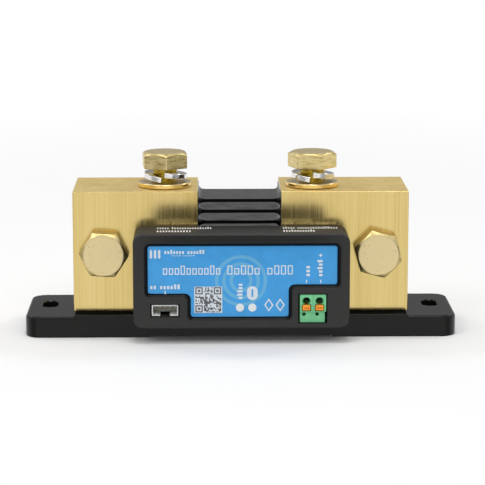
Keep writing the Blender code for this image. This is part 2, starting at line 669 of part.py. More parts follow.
def make_connector():
    half = CONNECTOR_WIDTH / 2
    back = BOARD_FRONT - GAP
    body = add_part("wire_connector",
                    box((CONNECTOR_X - half, CONNECTOR_FRONT, CONNECTOR_SPLIT),
                        (CONNECTOR_X + half, back, CONNECTOR_TOP)), "connector_green")
    join(body, box((CONNECTOR_X - half, CONNECTOR_LOWER_FRONT, CONNECTOR_BOTTOM),
                   (CONNECTOR_X + half - CONNECTOR_STEP, CONNECTOR_LOWER_BACK, CONNECTOR_SPLIT + GAP)))
    lever_x, lever_length, lever_z = LEVER_SIZE
    for number, x in enumerate(wire_ways(), start=1):
        cut(body,
            cylinder((x, CONNECTOR_FRONT + WIRE_HOLE_DEPTH, WIRE_HOLE_Z),
                     (x, CONNECTOR_FRONT - OVERSHOOT, WIRE_HOLE_Z), WIRE_HOLE_RADIUS),
            cylinder((x - TEST_HOLE_OFFSET, CONNECTOR_LOWER_FRONT + TEST_HOLE_DEPTH, TEST_HOLE_Z),
                     (x - TEST_HOLE_OFFSET, CONNECTOR_FRONT - OVERSHOOT, TEST_HOLE_Z),
                     TEST_HOLE_RADIUS, 12),
            box((x - lever_x / 2 - GAP, CONNECTOR_FRONT - OVERSHOOT, LEVER_Z - lever_z / 2 - GAP),
                (x + lever_x / 2 + GAP, LEVER_FRONT + lever_length + LEVER_TRAVEL + 2 * GAP,
                 LEVER_Z + lever_z / 2 + GAP)))
        add_part(f"release_lever_{number}",
                 box((-lever_x / 2, 0, -lever_z / 2), (lever_x / 2, lever_length, lever_z / 2), 0.00015),
                 "lever_orange", (x, LEVER_FRONT, LEVER_Z))
        clamp_x, clamp_y, clamp_z = CLAMP_SIZE
        clamp_front = CONNECTOR_FRONT + WIRE_HOLE_DEPTH - clamp_y - GAP
        add_part(f"wire_clamp_{number}",
                 box((x - clamp_x / 2, clamp_front, WIRE_HOLE_Z - clamp_z / 2),
                     (x + clamp_x / 2, clamp_front + clamp_y, WIRE_HOLE_Z + clamp_z / 2)),
                 "spring_steel")


# ---------------------------------------------------------------- circuit board and what is on it

def make_board():
    back = BOARD_FRONT + BOARD_THICKNESS
    board = add_part("circuit_board",
                     box((-BOARD_HALF, BOARD_FRONT, BOARD_BOTTOM), (BOARD_HALF, back, BOARD_TOP)),
                     "board_green")
    for name, side in SIDES.items():
        x = side * SENSE_SCREW_X
        cut(board, cylinder((x, BOARD_FRONT - OVERSHOOT, SENSE_SCREW_Z),
                            (x, back + OVERSHOOT, SENSE_SCREW_Z), SENSE_SCREW_RADIUS + GAP, 16))
        place = (x, 0, SENSE_SCREW_Z)
        screw = add_part("sense_screw_" + name,
                         cylinder((0, BOARD_FRONT - GAP - SENSE_SCREW_HEAD_HEIGHT, 0),
                                  (0, BOARD_FRONT - GAP, 0), SENSE_SCREW_HEAD),
                         "zinc_steel", place, smooth=True)
        join(screw, cylinder((0, BOARD_FRONT - GAP * 2, 0), (0, BLOCK_FRONT + SENSE_SCREW_REACH, 0),
                             SENSE_SCREW_RADIUS, 16))
        spacer = add_part("sense_spacer_" + name,
                          cylinder((0, back + GAP, 0), (0, BLOCK_FRONT - GAP, 0), SENSE_SPACER_RADIUS),
                          "brass", place, smooth=True)
        cut(spacer, cylinder((0, back - OVERSHOOT, 0), (0, BLOCK_FRONT + OVERSHOOT, 0),
                             SENSE_SCREW_RADIUS + GAP, 16))


def make_board_components():
    surface = BOARD_FRONT - GAP
    for name, (x, z, width, height, thickness) in BOARD_CHIPS.items():
        finish = "can_aluminium" if name == "radio_module" else "chip_black"
        add_part(name, box((x - width / 2, surface - thickness, z - height / 2),
                           (x + width / 2, surface, z + height / 2)), finish)
    for number, x in enumerate(CAPACITOR_XS, start=1):
        add_part(f"capacitor_{number}",
                 cylinder((0, surface, 0), (0, surface - CAPACITOR_LENGTH, 0), CAPACITOR_RADIUS),
                 "can_aluminium", (x, 0, CAPACITOR_Z), smooth=True)


def make_indicators():
    led_width, led_depth, led_height = LED_SIZE
    led_front = BOARD_FRONT - GAP - led_depth
    front = HOUSING_FRONT + RECESS_DEPTH - GAP - LABEL_THICKNESS
    for number, x in enumerate(LIGHT_XS, start=1):
        add_part(f"light_pipe_{number}",
                 cylinder((0, front, 0), (0, led_front - GAP, 0), LIGHT_RADIUS),
                 "lens_white", (x, 0, LIGHT_Z), smooth=True)
        add_part(f"indicator_led_{number}",
                 box((x - led_width / 2, led_front, LIGHT_Z - led_height / 2),
                     (x + led_width / 2, BOARD_FRONT - GAP, LIGHT_Z + led_height / 2)), "led_amber")


def main():
    global parts, cutters
    clear_scene()
    parts = new_collection("battery_monitor_shunt")
    cutters = new_collection("cutters")
    make_base()
    make_blocks()
    make_blades()
    make_block_screws()
    make_bolts()
    make_shell()
    make_housing_back()
    make_housing_screws()
    make_label()
    make_data_socket()
    make_connector()
    make_board()
    make_board_components()
    make_indicators()


main()
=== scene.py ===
"""Looks of the battery monitor shunt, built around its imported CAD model.

Metres, in the model's own frame: +X right, +Y back, +Z up, origin on the underside.
"""

import json
import math
import random

import bmesh
import bpy
from mathutils import Matrix, Vector, noise


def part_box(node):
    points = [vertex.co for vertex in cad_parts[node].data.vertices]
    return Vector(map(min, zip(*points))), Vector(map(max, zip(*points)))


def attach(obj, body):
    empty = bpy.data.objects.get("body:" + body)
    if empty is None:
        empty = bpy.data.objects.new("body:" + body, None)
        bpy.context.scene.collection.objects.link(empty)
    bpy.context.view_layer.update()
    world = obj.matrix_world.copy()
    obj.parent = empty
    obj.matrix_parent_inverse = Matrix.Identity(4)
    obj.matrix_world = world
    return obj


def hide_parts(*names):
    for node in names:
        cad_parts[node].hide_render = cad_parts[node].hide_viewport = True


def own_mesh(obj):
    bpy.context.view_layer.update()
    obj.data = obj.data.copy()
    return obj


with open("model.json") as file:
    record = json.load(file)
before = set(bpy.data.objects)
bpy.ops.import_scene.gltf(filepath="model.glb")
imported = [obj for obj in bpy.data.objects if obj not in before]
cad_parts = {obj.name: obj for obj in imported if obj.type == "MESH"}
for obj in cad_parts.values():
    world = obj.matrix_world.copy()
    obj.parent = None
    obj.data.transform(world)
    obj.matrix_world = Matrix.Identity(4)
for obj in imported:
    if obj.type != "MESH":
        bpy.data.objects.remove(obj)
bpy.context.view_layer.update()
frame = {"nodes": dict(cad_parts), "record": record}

MM = 0.001
SIDES = {"left": -1, "right": 1}
BLOCK_SCREW_XS, BLOCK_SCREW_Y, SCREW_HOLE_RADIUS = (0.0230, 0.0590), 0.0175, 0.0027
HEAD_HEIGHT, HALF_ACROSS_FLATS, THREAD_PITCH = 0.0064, 0.0085, 0.0015


# ---------------------------------------------------------------- materials

class Finish:
    """A Principled material, with short calls for the nodes that feed it."""

    def __init__(self, name, colour, roughness, metallic=0.0, **sockets):
        self.material = bpy.data.materials.new(name)
        self.material.use_nodes = True
        self.tree = self.material.node_tree
        self.shader = self.tree.nodes["Principled BSDF"]
        self.feed(self.shader, {"Base Color": (*colour, 1.0), "Roughness": roughness,
                                "Metallic": metallic, **sockets})
        self.place = self.add("TexCoord").outputs["Object"]
        self.facing = self.add("TexCoord").outputs["Normal"]

    def feed(self, node, inputs):
        for key, value in inputs.items():
            if isinstance(value, bpy.types.NodeSocket):
                self.tree.links.new(value, node.inputs[key])
            else:
                node.inputs[key].default_value = value

    def add(self, kind, inputs=None, **settings):
        node = self.tree.nodes.new("ShaderNode" + kind)
        for key, value in settings.items():
            setattr(node, key, value)
        self.feed(node, inputs or {})
        return node

    def calc(self, operation, first, second=0.0, clamp=False):
        return self.add("Math", {0: first, 1: second}, operation=operation,
                        use_clamp=clamp).outputs[0]

    def stretched(self, x, y, z):
        """The position in metres, multiplied along each axis."""
        return self.add("VectorMath", {0: self.place, 1: (x, y, z)}, operation="MULTIPLY").outputs[0]

    def split(self, vector):
        return self.add("SeparateXYZ", {0: vector}).outputs

    def noise(self, vector, scale=1.0, detail=3.0, roughness=0.5):
        return self.add("TexNoise", {"Vector": vector, "Scale": scale, "Detail": detail,
                                     "Roughness": roughness}).outputs[0]

    def blend(self, share, first, second):
        return self.add("Mix", {0: share, 2: first, 3: second}).outputs[0]

    def span(self, value, low, high, out_low=0.0, out_high=1.0):
        return self.add("MapRange", {0: value, 1: low, 2: high, 3: out_low, 4: out_high},
                        interpolation_type="SMOOTHSTEP").outputs[0]

    def colours(self, value, *stops):
        """Colour by value, through (position, colour) stops."""
        ramp = self.add("ValToRGB", {0: value})
        elements = ramp.color_ramp.elements
        while len(elements) < len(stops):
            elements.new(0.5)
        for element, (position, colour) in zip(elements, stops):
            element.position = position
            element.color = (*colour, 1.0)
        return ramp.outputs[0]

    def set(self, **values):
        names = {"colour": "Base Color", "roughness": "Roughness", "metallic": "Metallic"}
        self.feed(self.shader, {names[key]: value for key, value in values.items()})

    def bump(self, height, strength, distance):
        normal = self.add("Bump", {"Height": height, "Strength": strength, "Distance": distance})
        self.feed(self.shader, {"Normal": normal.outputs[0]})


def brushed_brass():
    """Sawn and brushed bar: lines run up the sides, and the top is sanded to a satin."""
    finish = Finish("brushed_brass", (0.72, 0.56, 0.23), 0.2, 1.0)
    sides = finish.noise(finish.stretched(2300, 2300, 16), detail=4.0, roughness=0.6)
    top = finish.noise(finish.stretched(300, 1500, 300), detail=4.0, roughness=0.6)
    lying = finish.span(finish.calc("ABSOLUTE", finish.split(finish.facing)[2]), 0.5, 0.8)
    lines = finish.blend(lying, sides, top)
    broad = finish.noise(finish.stretched(160, 160, 9), detail=2.0)
    tone = finish.calc("ADD", finish.calc("MULTIPLY", lines, 0.62), finish.calc("MULTIPLY", broad, 0.38))
    finish.set(colour=finish.colours(tone, (0.28, (0.58, 0.420, 0.140)), (0.50, (0.73, 0.556, 0.215)),
                                     (0.74, (0.83, 0.665, 0.30))),
               roughness=finish.blend(lying, finish.span(lines, 0.3, 0.7, 0.13, 0.23), 0.5),
               metallic=finish.span(lying, 0.0, 1.0, 1.0, 0.72))
    finish.bump(lines, 0.22, 0.00005)
    return finish.material


def turned_brass():
    """A bolt: turning rings and small pits on the round face, smeared forging marks on the flats."""
    finish = Finish("turned_brass", (0.74, 0.58, 0.25), 0.25, 1.0)
    x, y, z = finish.split(finish.place)
    radius = finish.calc("SQRT", finish.calc("ADD", finish.calc("MULTIPLY", x, x),
                                             finish.calc("MULTIPLY", y, y)))
    across = finish.add("CombineXYZ", {0: finish.calc("MULTIPLY", radius, 4600.0), 1: 3.0, 2: 7.0})
    rings = finish.noise(across.outputs[0], detail=3.0, roughness=0.7)
    smear = finish.noise(finish.stretched(260, 260, 1000), detail=5.0, roughness=0.65)
    pits = finish.span(finish.noise(finish.stretched(950, 950, 950), detail=4.0, roughness=0.7),
                       0.60, 0.68)
    face = finish.span(finish.split(finish.facing)[2], 0.92, 0.985)
    below = finish.span(z, -0.0003, 0.0, 1.0, 0.0)
    ringed = finish.calc("SUBTRACT", finish.span(rings, 0.34, 0.66, 0.42, 0.74),
                         finish.calc("MULTIPLY", pits, 0.42))
    smeared = finish.colours(smear, (0.30, (0.42, 0.33, 0.12)), (0.46, (0.68, 0.54, 0.23)),
                             (0.62, (0.84, 0.70, 0.36)))
    turned_face = finish.colours(ringed, (0.05, (0.34, 0.25, 0.09)), (0.45, (0.70, 0.55, 0.26)),
                                 (0.72, (0.90, 0.77, 0.47)))
    head = finish.add("Mix", {0: face, 6: smeared, 7: turned_face}, data_type="RGBA").outputs[2]
    threaded = finish.add("Mix", {0: below, 6: head, 7: (0.72, 0.58, 0.12, 1.0)}, data_type="RGBA")
    finish.set(colour=threaded.outputs[2],
               roughness=finish.blend(face, finish.span(smear, 0.3, 0.7, 0.26, 0.40), 0.36))
    finish.bump(finish.blend(face, smear, ringed), 0.45, 0.00012)
    return finish.material


def washer_brass():
    """A stamped washer: its flat sides are tumbled and its rim is drawn bright."""
    finish = Finish("washer_brass", (0.78, 0.58, 0.22), 0.25, 1.0)
    flat = finish.span(finish.calc("ABSOLUTE", finish.split(finish.facing)[2]), 0.6, 0.9)
    scuff = finish.noise(finish.stretched(900, 900, 900), detail=5.0, roughness=0.65)
    finish.set(colour=finish.colours(finish.blend(flat, 0.10, finish.span(scuff, 0.3, 0.7, 0.55, 1.0)),
                                     (0.0, (0.95, 0.66, 0.20)), (0.55, (0.66, 0.54, 0.33)),
                                     (1.0, (0.80, 0.68, 0.46))),
               roughness=finish.blend(flat, 0.22, finish.span(scuff, 0.3, 0.7, 0.26, 0.42)))
    finish.bump(scuff, 0.25, 0.00005)
    return finish.material


def spring_nickel():
    finish = Finish("spring_nickel", (0.83, 0.82, 0.80), 0.12, 1.0)
    drawn = finish.noise(finish.stretched(500, 500, 3000), detail=4.0, roughness=0.6)
    finish.set(colour=finish.colours(drawn, (0.3, (0.58, 0.56, 0.54)), (0.6, (0.92, 0.91, 0.89))),
               roughness=finish.span(drawn, 0.3, 0.7, 0.06, 0.18))
    finish.bump(drawn, 0.25, 0.00006)
    return finish.material


def moulded_black():
    """The base: black plastic, nearly glossy, with faint flow marks."""
    finish = Finish("moulded_black", (0.005, 0.005, 0.005), 0.3, 0.0, **{"Specular IOR Level": 0.22})
    grain = finish.noise(finish.stretched(1500, 1500, 1500), detail=3.0)
    flow = finish.noise(finish.stretched(30, 45, 90), detail=3.0)
    finish.set(colour=finish.colours(flow, (0.3, (0.004, 0.004, 0.0038)), (0.7, (0.008, 0.008, 0.0072))),
               roughness=finish.span(flow, 0.3, 0.7, 0.20, 0.28))
    finish.bump(grain, 0.06, 0.00010)
    return finish.material


def textured_housing():
    """The housing: spark-eroded texture in front, flatter and duller on top."""
    finish = Finish("textured_housing", (0.014, 0.014, 0.013), 0.42, **{"Specular IOR Level": 0.45})
    grain = finish.noise(finish.stretched(3200, 3200, 3200), detail=4.0, roughness=0.6)
    coarse = finish.noise(finish.stretched(900, 900, 900), detail=2.0)
    upward = finish.span(finish.split(finish.facing)[2], 0.5, 0.95)
    finish.set(colour=finish.colours(finish.calc("ADD", finish.calc("MULTIPLY", grain, 0.7),
                                                 finish.calc("MULTIPLY", coarse, 0.3)),
                                     (0.3, (0.009, 0.009, 0.0085)), (0.7, (0.020, 0.020, 0.018))),
               roughness=finish.blend(upward, 0.46, 0.62))
    finish.bump(grain, finish.blend(upward, 0.34, 0.12), 0.00012)
    return finish.material


def blade_paint():
    """Thick black lacquer with runs."""
    finish = Finish("blade_paint", (0.008, 0.008, 0.008), 0.2, 0.0, **{"Specular IOR Level": 0.40})
    runs = finish.noise(finish.stretched(170, 170, 170), detail=4.0, roughness=0.55)
    fine = finish.noise(finish.stretched(900, 900, 900), detail=2.0)
    finish.set(colour=finish.colours(runs, (0.3, (0.005, 0.005, 0.005)), (0.7, (0.012, 0.012, 0.0115))),
               roughness=finish.span(runs, 0.3, 0.7, 0.10, 0.24))
    finish.bump(finish.calc("ADD", runs, finish.calc("MULTIPLY", fine, 0.08)), 0.35, 0.0004)
    return finish.material


def plastic(name, colour, roughness, spread=0.12, grain=0.12, **sockets):
    """A moulded plastic or ink whose colour varies a little, with a fine grain."""
    finish = Finish(name, colour, roughness, 0.0, **sockets)
    tone = finish.noise(finish.stretched(260, 260, 260), detail=3.0)
    fine = finish.noise(finish.stretched(2600, 2600, 2600), detail=2.0)
    finish.set(colour=finish.colours(tone, (0.3, tuple(c * (1 - spread) for c in colour)),
                                     (0.7, tuple(min(1.0, c * (1 + spread)) for c in colour))),
               roughness=finish.span(fine, 0.3, 0.7, roughness * 0.85, roughness * 1.15))
    finish.bump(fine, grain, 0.00008)
    return finish.material


def metal(name, colour, roughness, scratch=(1500, 1500, 120)):
    """A plated or tinned metal with fine directional marks."""
    finish = Finish(name, colour, roughness, 1.0)
    marks = finish.noise(finish.stretched(*scratch), detail=4.0, roughness=0.6)
    finish.set(colour=finish.colours(marks, (0.3, tuple(c * 0.82 for c in colour)),
                                     (0.7, tuple(min(1.0, c * 1.08) for c in colour))),
               roughness=finish.span(marks, 0.3, 0.7, roughness * 0.7, roughness * 1.3))
    finish.bump(marks, 0.2, 0.00004)
    return finish.material


def board_laminate():
    """Solder resist over copper tracks."""
    finish = Finish("board_laminate", (0.015, 0.14, 0.06), 0.35)
    tracks = finish.add("TexBrick", {"Vector": finish.stretched(420, 420, 420), "Scale": 1.0,
                                     "Mortar Size": 0.06, "Color1": (0.012, 0.12, 0.05, 1),
                                     "Color2": (0.016, 0.15, 0.065, 1), "Mortar": (0.03, 0.24, 0.11, 1)})
    finish.set(colour=tracks.outputs[0])
    finish.bump(tracks.outputs[1], 0.3, 0.00005)
    return finish.material


PALETTE = {
    "base_plastic": moulded_black(),
    "block_brass": brushed_brass(),
    "bolt_brass": turned_brass(),
    "washer_brass": washer_brass(),
    "spring_nickel": spring_nickel(),
    "blade_paint": blade_paint(),
    "screw_zinc": metal("screw_zinc", (0.62, 0.63, 0.66), 0.3),
    "housing_plastic": textured_housing(),
    "label_print": plastic("label_film", (0.040, 0.330, 0.73), 0.42, 0.05, 0.05),
    "light_pipe": plastic("light_pipe", (0.78, 0.80, 0.81), 0.35, 0.04, 0.05),
    "socket_plastic": plastic("socket_plastic", (0.70, 0.73, 0.71), 0.45),
    "contact_pin": metal("contact_pin", (0.85, 0.62, 0.25), 0.22),
    "connector_green": plastic("connector_green", (0.17, 0.57, 0.27), 0.38, 0.08, 0.15),
    "lever_orange": plastic("lever_orange", (0.93, 0.33, 0.02), 0.4, 0.10, 0.15),
    "clamp_steel": metal("clamp_steel", (0.66, 0.66, 0.66), 0.25),
    "board_laminate": board_laminate(),
    "chip_epoxy": plastic("chip_epoxy", (0.03, 0.03, 0.03), 0.5),
    "can_metal": metal("can_metal", (0.72, 0.73, 0.75), 0.3),
    "led_body": plastic("led_body", (0.90, 0.62, 0.25), 0.25),
}
INKS = {
    "white": plastic("ink_white", (0.68, 0.74, 0.80), 0.5, 0.03, 0.05),
    "pale": plastic("ink_pale", (0.12, 0.42, 0.70), 0.45, 0.04, 0.05),
    "dark": plastic("ink_dark", (0.10, 0.10, 0.10), 0.5, 0.05, 0.05),
    "housing": plastic("ink_housing", (0.80, 0.80, 0.78), 0.5, 0.04, 0.05),
}
# a dull, darker black that paints shade on faces that stand in shadow
SHADE_MATT = plastic("painted_shade_matt", (0.004, 0.004, 0.004), 0.9, 0.1, 0.1, **{"Specular IOR Level": 0.03})
# a darker black for the label's well: painted shade in the recess
WELL_PAINTED_SHADE = plastic("label_well", (0.004, 0.004, 0.004), 0.42, 0.1, 0.1, **{"Specular IOR Level": 0.15})


# ---------------------------------------------------------------- shapes

def piece(name, shape, slot, body="root", stands_for=(), material=None, angle=35.0, matrix=None):
    """A finished piece made of a bmesh, riding on a CAD body."""
    bmesh.ops.remove_doubles(shape, verts=shape.verts, dist=1e-7)
    bmesh.ops.recalc_face_normals(shape, faces=shape.faces)
    mesh = bpy.data.meshes.new(name)
    shape.to_mesh(mesh)
    shape.free()
    mesh.materials.append(material or PALETTE[slot])
    mesh.shade_smooth()
    mesh.set_sharp_from_angle(angle=math.radians(angle))
    obj = bpy.data.objects.new(name, mesh)
    bpy.context.scene.collection.objects.link(obj)
    if matrix:
        obj.matrix_world = matrix
    weighted = obj.modifiers.new("Normals", "WEIGHTED_NORMAL")
    weighted.keep_sharp = True
    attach(obj, body)
    if stands_for:
        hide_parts(*stands_for)
    return obj


def skin(shape, rings, start_cap=True, end_cap=True):
    """Quads between rings of points of equal length; returns the rings' vertices."""
    made = [[shape.verts.new(point) for point in ring] for ring in rings]
    for near, far in zip(made, made[1:]):
        for index in range(len(near)):
            after = (index + 1) % len(near)
            shape.faces.new((near[index], near[after], far[after], far[index]))
    if start_cap:
        shape.faces.new(made[0])
    if end_cap:
        shape.faces.new(made[-1])
    return made


def fill(shape, loops):
    """Fill a flat region: the first loop of vertices is its outline, the others are holes."""
    edges = []
    for loop in loops:
        for vert, after in zip(loop, loop[1:] + loop[:1]):
            edges.append(shape.edges.get((vert, after)) or shape.edges.new((vert, after)))
    bmesh.ops.triangle_fill(shape, edges=edges, use_beauty=True, use_dissolve=False)


def outline(corners, radii, grow=0.0, steps=8):
    """The points of an anticlockwise outline with arcs for corners, moved outwards by grow."""
    points = []
    for index, corner in enumerate(corners):
        here = Vector(corner)
        back = (Vector(corners[index - 1]) - here).normalized()
        ahead = (Vector(corners[(index + 1) % len(corners)]) - here).normalized()
        half = back.angle(ahead) / 2
        turn = 1 if (-back).cross(ahead) > 0 else -1
        middle = (back + ahead).normalized()
        radius = max(radii[index] + turn * grow, 0.00002)
        centre = here + middle * (radius - turn * grow) / math.sin(half)
        first = -middle * radius
        sweep = math.pi - 2 * half
        for step in range(steps + 1):
            arm = first.copy()
            arm.rotate(Matrix.Rotation(turn * sweep * (step / steps - 0.5), 2))
            points.append(centre + arm)
    return points


def rectangle(low_x, low_y, high_x, high_y):
    return [(low_x, low_y), (high_x, low_y), (high_x, high_y), (low_x, high_y)]


def facing_front(points, y):
    return [(x, y, z) for x, z in points]


def lying(points, z):
    return [(x, y, z) for x, y in points]


def arc_steps(radius, count):
    """How far in and how far along each step of a rounded edge is, from the side to the face."""
    for step in range(count + 1):
        turn = math.pi / 2 * step / count
        yield radius * (1 - math.cos(turn)), radius * (1 - math.sin(turn))


def rounded_block(low, high, edge, corner=None, steps=3):
    """A box with rounded edges. Its upright edges may have a radius of their own."""
    shape = bmesh.new()
    corners = rectangle(low[0], low[1], high[0], high[1])
    radii = [max(corner or edge, edge * 1.01)] * 4
    rings = [lying(outline(corners, radii, -inset, 6), low[2] + along)
             for inset, along in reversed(list(arc_steps(edge, steps)))]
    rings += [lying(outline(corners, radii, -inset, 6), high[2] - along)
              for inset, along in arc_steps(edge, steps)]
    skin(shape, rings)
    return shape


def circle(centre, radius, steps):
    """Points anticlockwise round a centre."""
    turns = [2 * math.pi * step / steps for step in range(steps)]
    return [(centre[0] + radius * math.cos(turn), centre[1] + radius * math.sin(turn)) for turn in turns]


def rod(start, end, radius, end_radius=None, segments=40):
    start, end = Vector(start), Vector(end)
    shape = bmesh.new()
    along = (end - start).to_track_quat("Z", "Y").to_matrix().to_4x4()
    placed = Matrix.Translation((start + end) / 2) @ along
    bmesh.ops.create_cone(shape, cap_ends=True, segments=segments, radius1=radius,
                          radius2=radius if end_radius is None else end_radius,
                          depth=(end - start).length, matrix=placed)
    return shape


def turned(profile, segments=64):
    """A closed ring of (radius, height) points turned about Z."""
    shape = bmesh.new()
    rings = []
    for step in range(segments):
        turn = 2 * math.pi * step / segments
        rings.append([(radius * math.cos(turn), radius * math.sin(turn), height)
                      for radius, height in profile])
    rings.append(rings[0])
    skin(shape, rings, False, False)
    return shape


def carved(shape, others, operation="DIFFERENCE"):
    """The shape after cutting the others from it, or joining them to it."""
    made = []
    for source in [shape, *others]:
        bmesh.ops.recalc_face_normals(source, faces=source.faces)
        mesh = bpy.data.meshes.new("working")
        source.to_mesh(mesh)
        source.free()
        obj = bpy.data.objects.new("working", mesh)
        bpy.context.scene.collection.objects.link(obj)
        made.append(obj)
    for other in made[1:]:
        modifier = made[0].modifiers.new("Cut", "BOOLEAN")
        modifier.operation = operation
        modifier.solver = "EXACT"
        modifier.object = other
    bpy.context.view_layer.update()
    evaluated = made[0].evaluated_get(bpy.context.evaluated_depsgraph_get())
    result = bmesh.new()
    result.from_mesh(evaluated.to_mesh())
    for obj in made:
        bpy.data.objects.remove(obj)
    return result


def lumps(point, scale, seed=0.0):
    """Smooth noise from about -1 to 1."""
    return noise.fractal(Vector(point) * scale + Vector((seed, seed * 1.7, 0)), 1.0, 2.0, 3)


# ---------------------------------------------------------------- base

def make_base():
    low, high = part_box("base_plate")
    plinth_half, ear_top, relief_half, relief_top = 0.0657, 0.0084, 0.0355, 0.00085
    slot_x, slot_near, slot_far, slot_radius = 0.0765, 0.0058, 0.0114, 0.0031
    ears = bmesh.new()
    corners = rectangle(low.x, low.y, high.x, high.y)
    radii = [0.006] * 4
    rings = [lying(outline(corners, radii, -0.0003, 10), low.z),
             lying(outline(corners, radii, 0, 10), low.z + 0.0003)]
    rings += [lying(outline(corners, radii, -inset, 10), ear_top - along)
              for inset, along in arc_steps(0.0011, 6)]
    skin(ears, rings)
    plinth = rounded_block((-plinth_half, low.y, 0.003), (plinth_half, high.y, high.z), 0.00045, steps=4)
    solid = carved(ears, [plinth], "UNION")
    cutters = [rounded_block((-relief_half, low.y - 0.002, -0.002),
                             (relief_half, high.y + 0.002, relief_top), 0.0004)]
    for side in SIDES.values():
        x = side * slot_x
        slot = rectangle(x - slot_radius, slot_near - slot_radius, x + slot_radius, slot_far + slot_radius)
        ways = [lying(outline(slot, [slot_radius * 0.98] * 4, grow, 10), z)
                for z, grow in ((-0.002, 0), (ear_top - 0.00035, 0), (ear_top + 0.0001, 0.00045))]
        cutter = bmesh.new()
        skin(cutter, ways)
        cutters.append(cutter)
        for screw_x in BLOCK_SCREW_XS:
            x, y, head_radius = side * screw_x, BLOCK_SCREW_Y, 0.0049
            cutters.append(rod((x, y, -0.002), (x, y, 0.012), SCREW_HOLE_RADIUS, segments=24))
            cutters.append(rod((x, y, -0.002), (x, y, 0.0015), head_radius, segments=32))
            cutters.append(rod((x, y, 0.0012), (x, y, 0.0037), head_radius, SCREW_HOLE_RADIUS, 32))
    base = piece("base_moulding", carved(solid, cutters), "base_plastic", stands_for=["base_plate"])
    # painted shade: the plinth's top gets a dull, darker black, so the brass doesn't show in it and it reads
    # as shaded
    base.data.materials.append(SHADE_MATT)
    for face in base.data.polygons:
        face.material_index = int(face.normal.z > 0.9 and face.center.z > high.z - 0.0002)


# ---------------------------------------------------------------- blocks and blades

def tapped_hole(mouth, inwards, depth):
    """A cutter for a hole with M10 thread grooves and a small countersink."""
    minor, groove = 0.00505, 0.00045
    profile = [(0.0061, -0.0004), (0.0057, 0.0), (minor, 0.00065)]
    profile += [(minor + (groove if half % 2 else 0.0), 0.00065 + THREAD_PITCH * half / 2)
                for half in range(1, int((depth - 0.0015) / THREAD_PITCH * 2))]
    profile += [(minor, depth - 0.0004), (0.0046, depth)]
    shape = bmesh.new()
    turned_to = Vector((0, 0, 1)).rotation_difference(Vector(inwards))
    skin(shape, [[Vector(mouth) + turned_to @ Vector((x, y, sunk)) for x, y in circle((0, 0), radius, 40)]
                 for radius, sunk in profile])
    return shape


def make_blocks():
    """The brass blocks sit down on the plinth, with tapped holes for the bolts."""
    for name, side in SIDES.items():
        low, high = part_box("terminal_block_" + name)
        top_low, top_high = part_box("top_bolt_" + name)
        front_low, front_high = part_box("front_bolt_" + name)
        bar = rounded_block((low.x, low.y, low.z - 0.0002), high, 0.00025, steps=3)
        top, front = (top_low + top_high) / 2, (front_low + front_high) / 2
        sense_x, sense_z, hole_depth = side * 0.0290, 0.0300, 0.028
        cutters = [tapped_hole((top.x, top.y, high.z), (0, 0, -1), hole_depth),
                   tapped_hole((front.x, low.y, front.z), (0, 1, 0), hole_depth),
                   rod((sense_x, low.y - 0.002, sense_z), (sense_x, low.y + 0.0065, sense_z), 0.0017,
                       segments=24)]
        cutters += [rod((side * x, BLOCK_SCREW_Y, low.z - 0.002), (side * x, BLOCK_SCREW_Y, 0.0193),
                        SCREW_HOLE_RADIUS, segments=24) for x in BLOCK_SCREW_XS]
        piece("brass_block_" + name, carved(bar, cutters), "block_brass",
              stands_for=["terminal_block_" + name])


def make_blades():
    """Painted strips that thicken into lumpy fillets where they meet the blocks."""
    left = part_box("terminal_block_left")[1].x
    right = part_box("terminal_block_right")[0].x
    centre, half_gap = (left + right) / 2, (right - left) / 2
    reach = half_gap + 0.0005
    stations = 52
    for number in range(1, 11):
        name = f"resistance_blade_{number:02d}"
        low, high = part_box(name)
        middle = (low.z + high.z) / 2
        shape = bmesh.new()
        rings = []
        for station in range(stations + 1):
            # stations crowd towards the two ends, where the paint is lumpy
            from_centre = reach * math.sin(math.pi * (station / stations - 0.5))
            end = max(0.0, 1 - (half_gap - abs(from_centre)) / 0.0036)
            swell = 0.00075 * end ** 3
            x = centre + from_centre
            ring = []
            corners = rectangle(low.y, low.z, high.y, high.z)
            for y, z in outline(corners, [0.0003] * 4, swell * 0.55, 4):
                z = middle + (z - middle) * (1 + swell / 0.00065)
                rough = 0.00002 + 0.00048 * min(1.0, end) ** 1.5
                push = rough * lumps((x, y, z), 520, number)
                away = 1 if z > middle else -1
                ring.append((x, y + push * (1 if y > 0.008 else -1), z + away * push))
            # more points along the flat sides, so that the lumps show there
            rings.append(subdivided(ring))
        skin(shape, rings)
        blade = piece(f"painted_blade_{number:02d}", shape, "blade_paint", stands_for=[name], angle=60)
        # painted shade: the front faces get a dull, darker black, so they read as shaded
        blade.data.materials.append(SHADE_MATT)
        for face in blade.data.polygons:
            clear_of_ends = abs(face.center.x - centre) < half_gap - 0.0015
            face.material_index = int(face.normal.y < -0.35 and clear_of_ends)


def subdivided(ring):
    """The ring with its two long straight runs split."""
    points = []
    for here, after in zip(ring, ring[1:] + ring[:1]):
        here, after = Vector(here), Vector(after)
        flat = Vector((0, after.y - here.y, 0)).length
        parts = 22 if flat > 0.015 else 1
        points += [here.lerp(after, part / parts) for part in range(parts)]
    return points


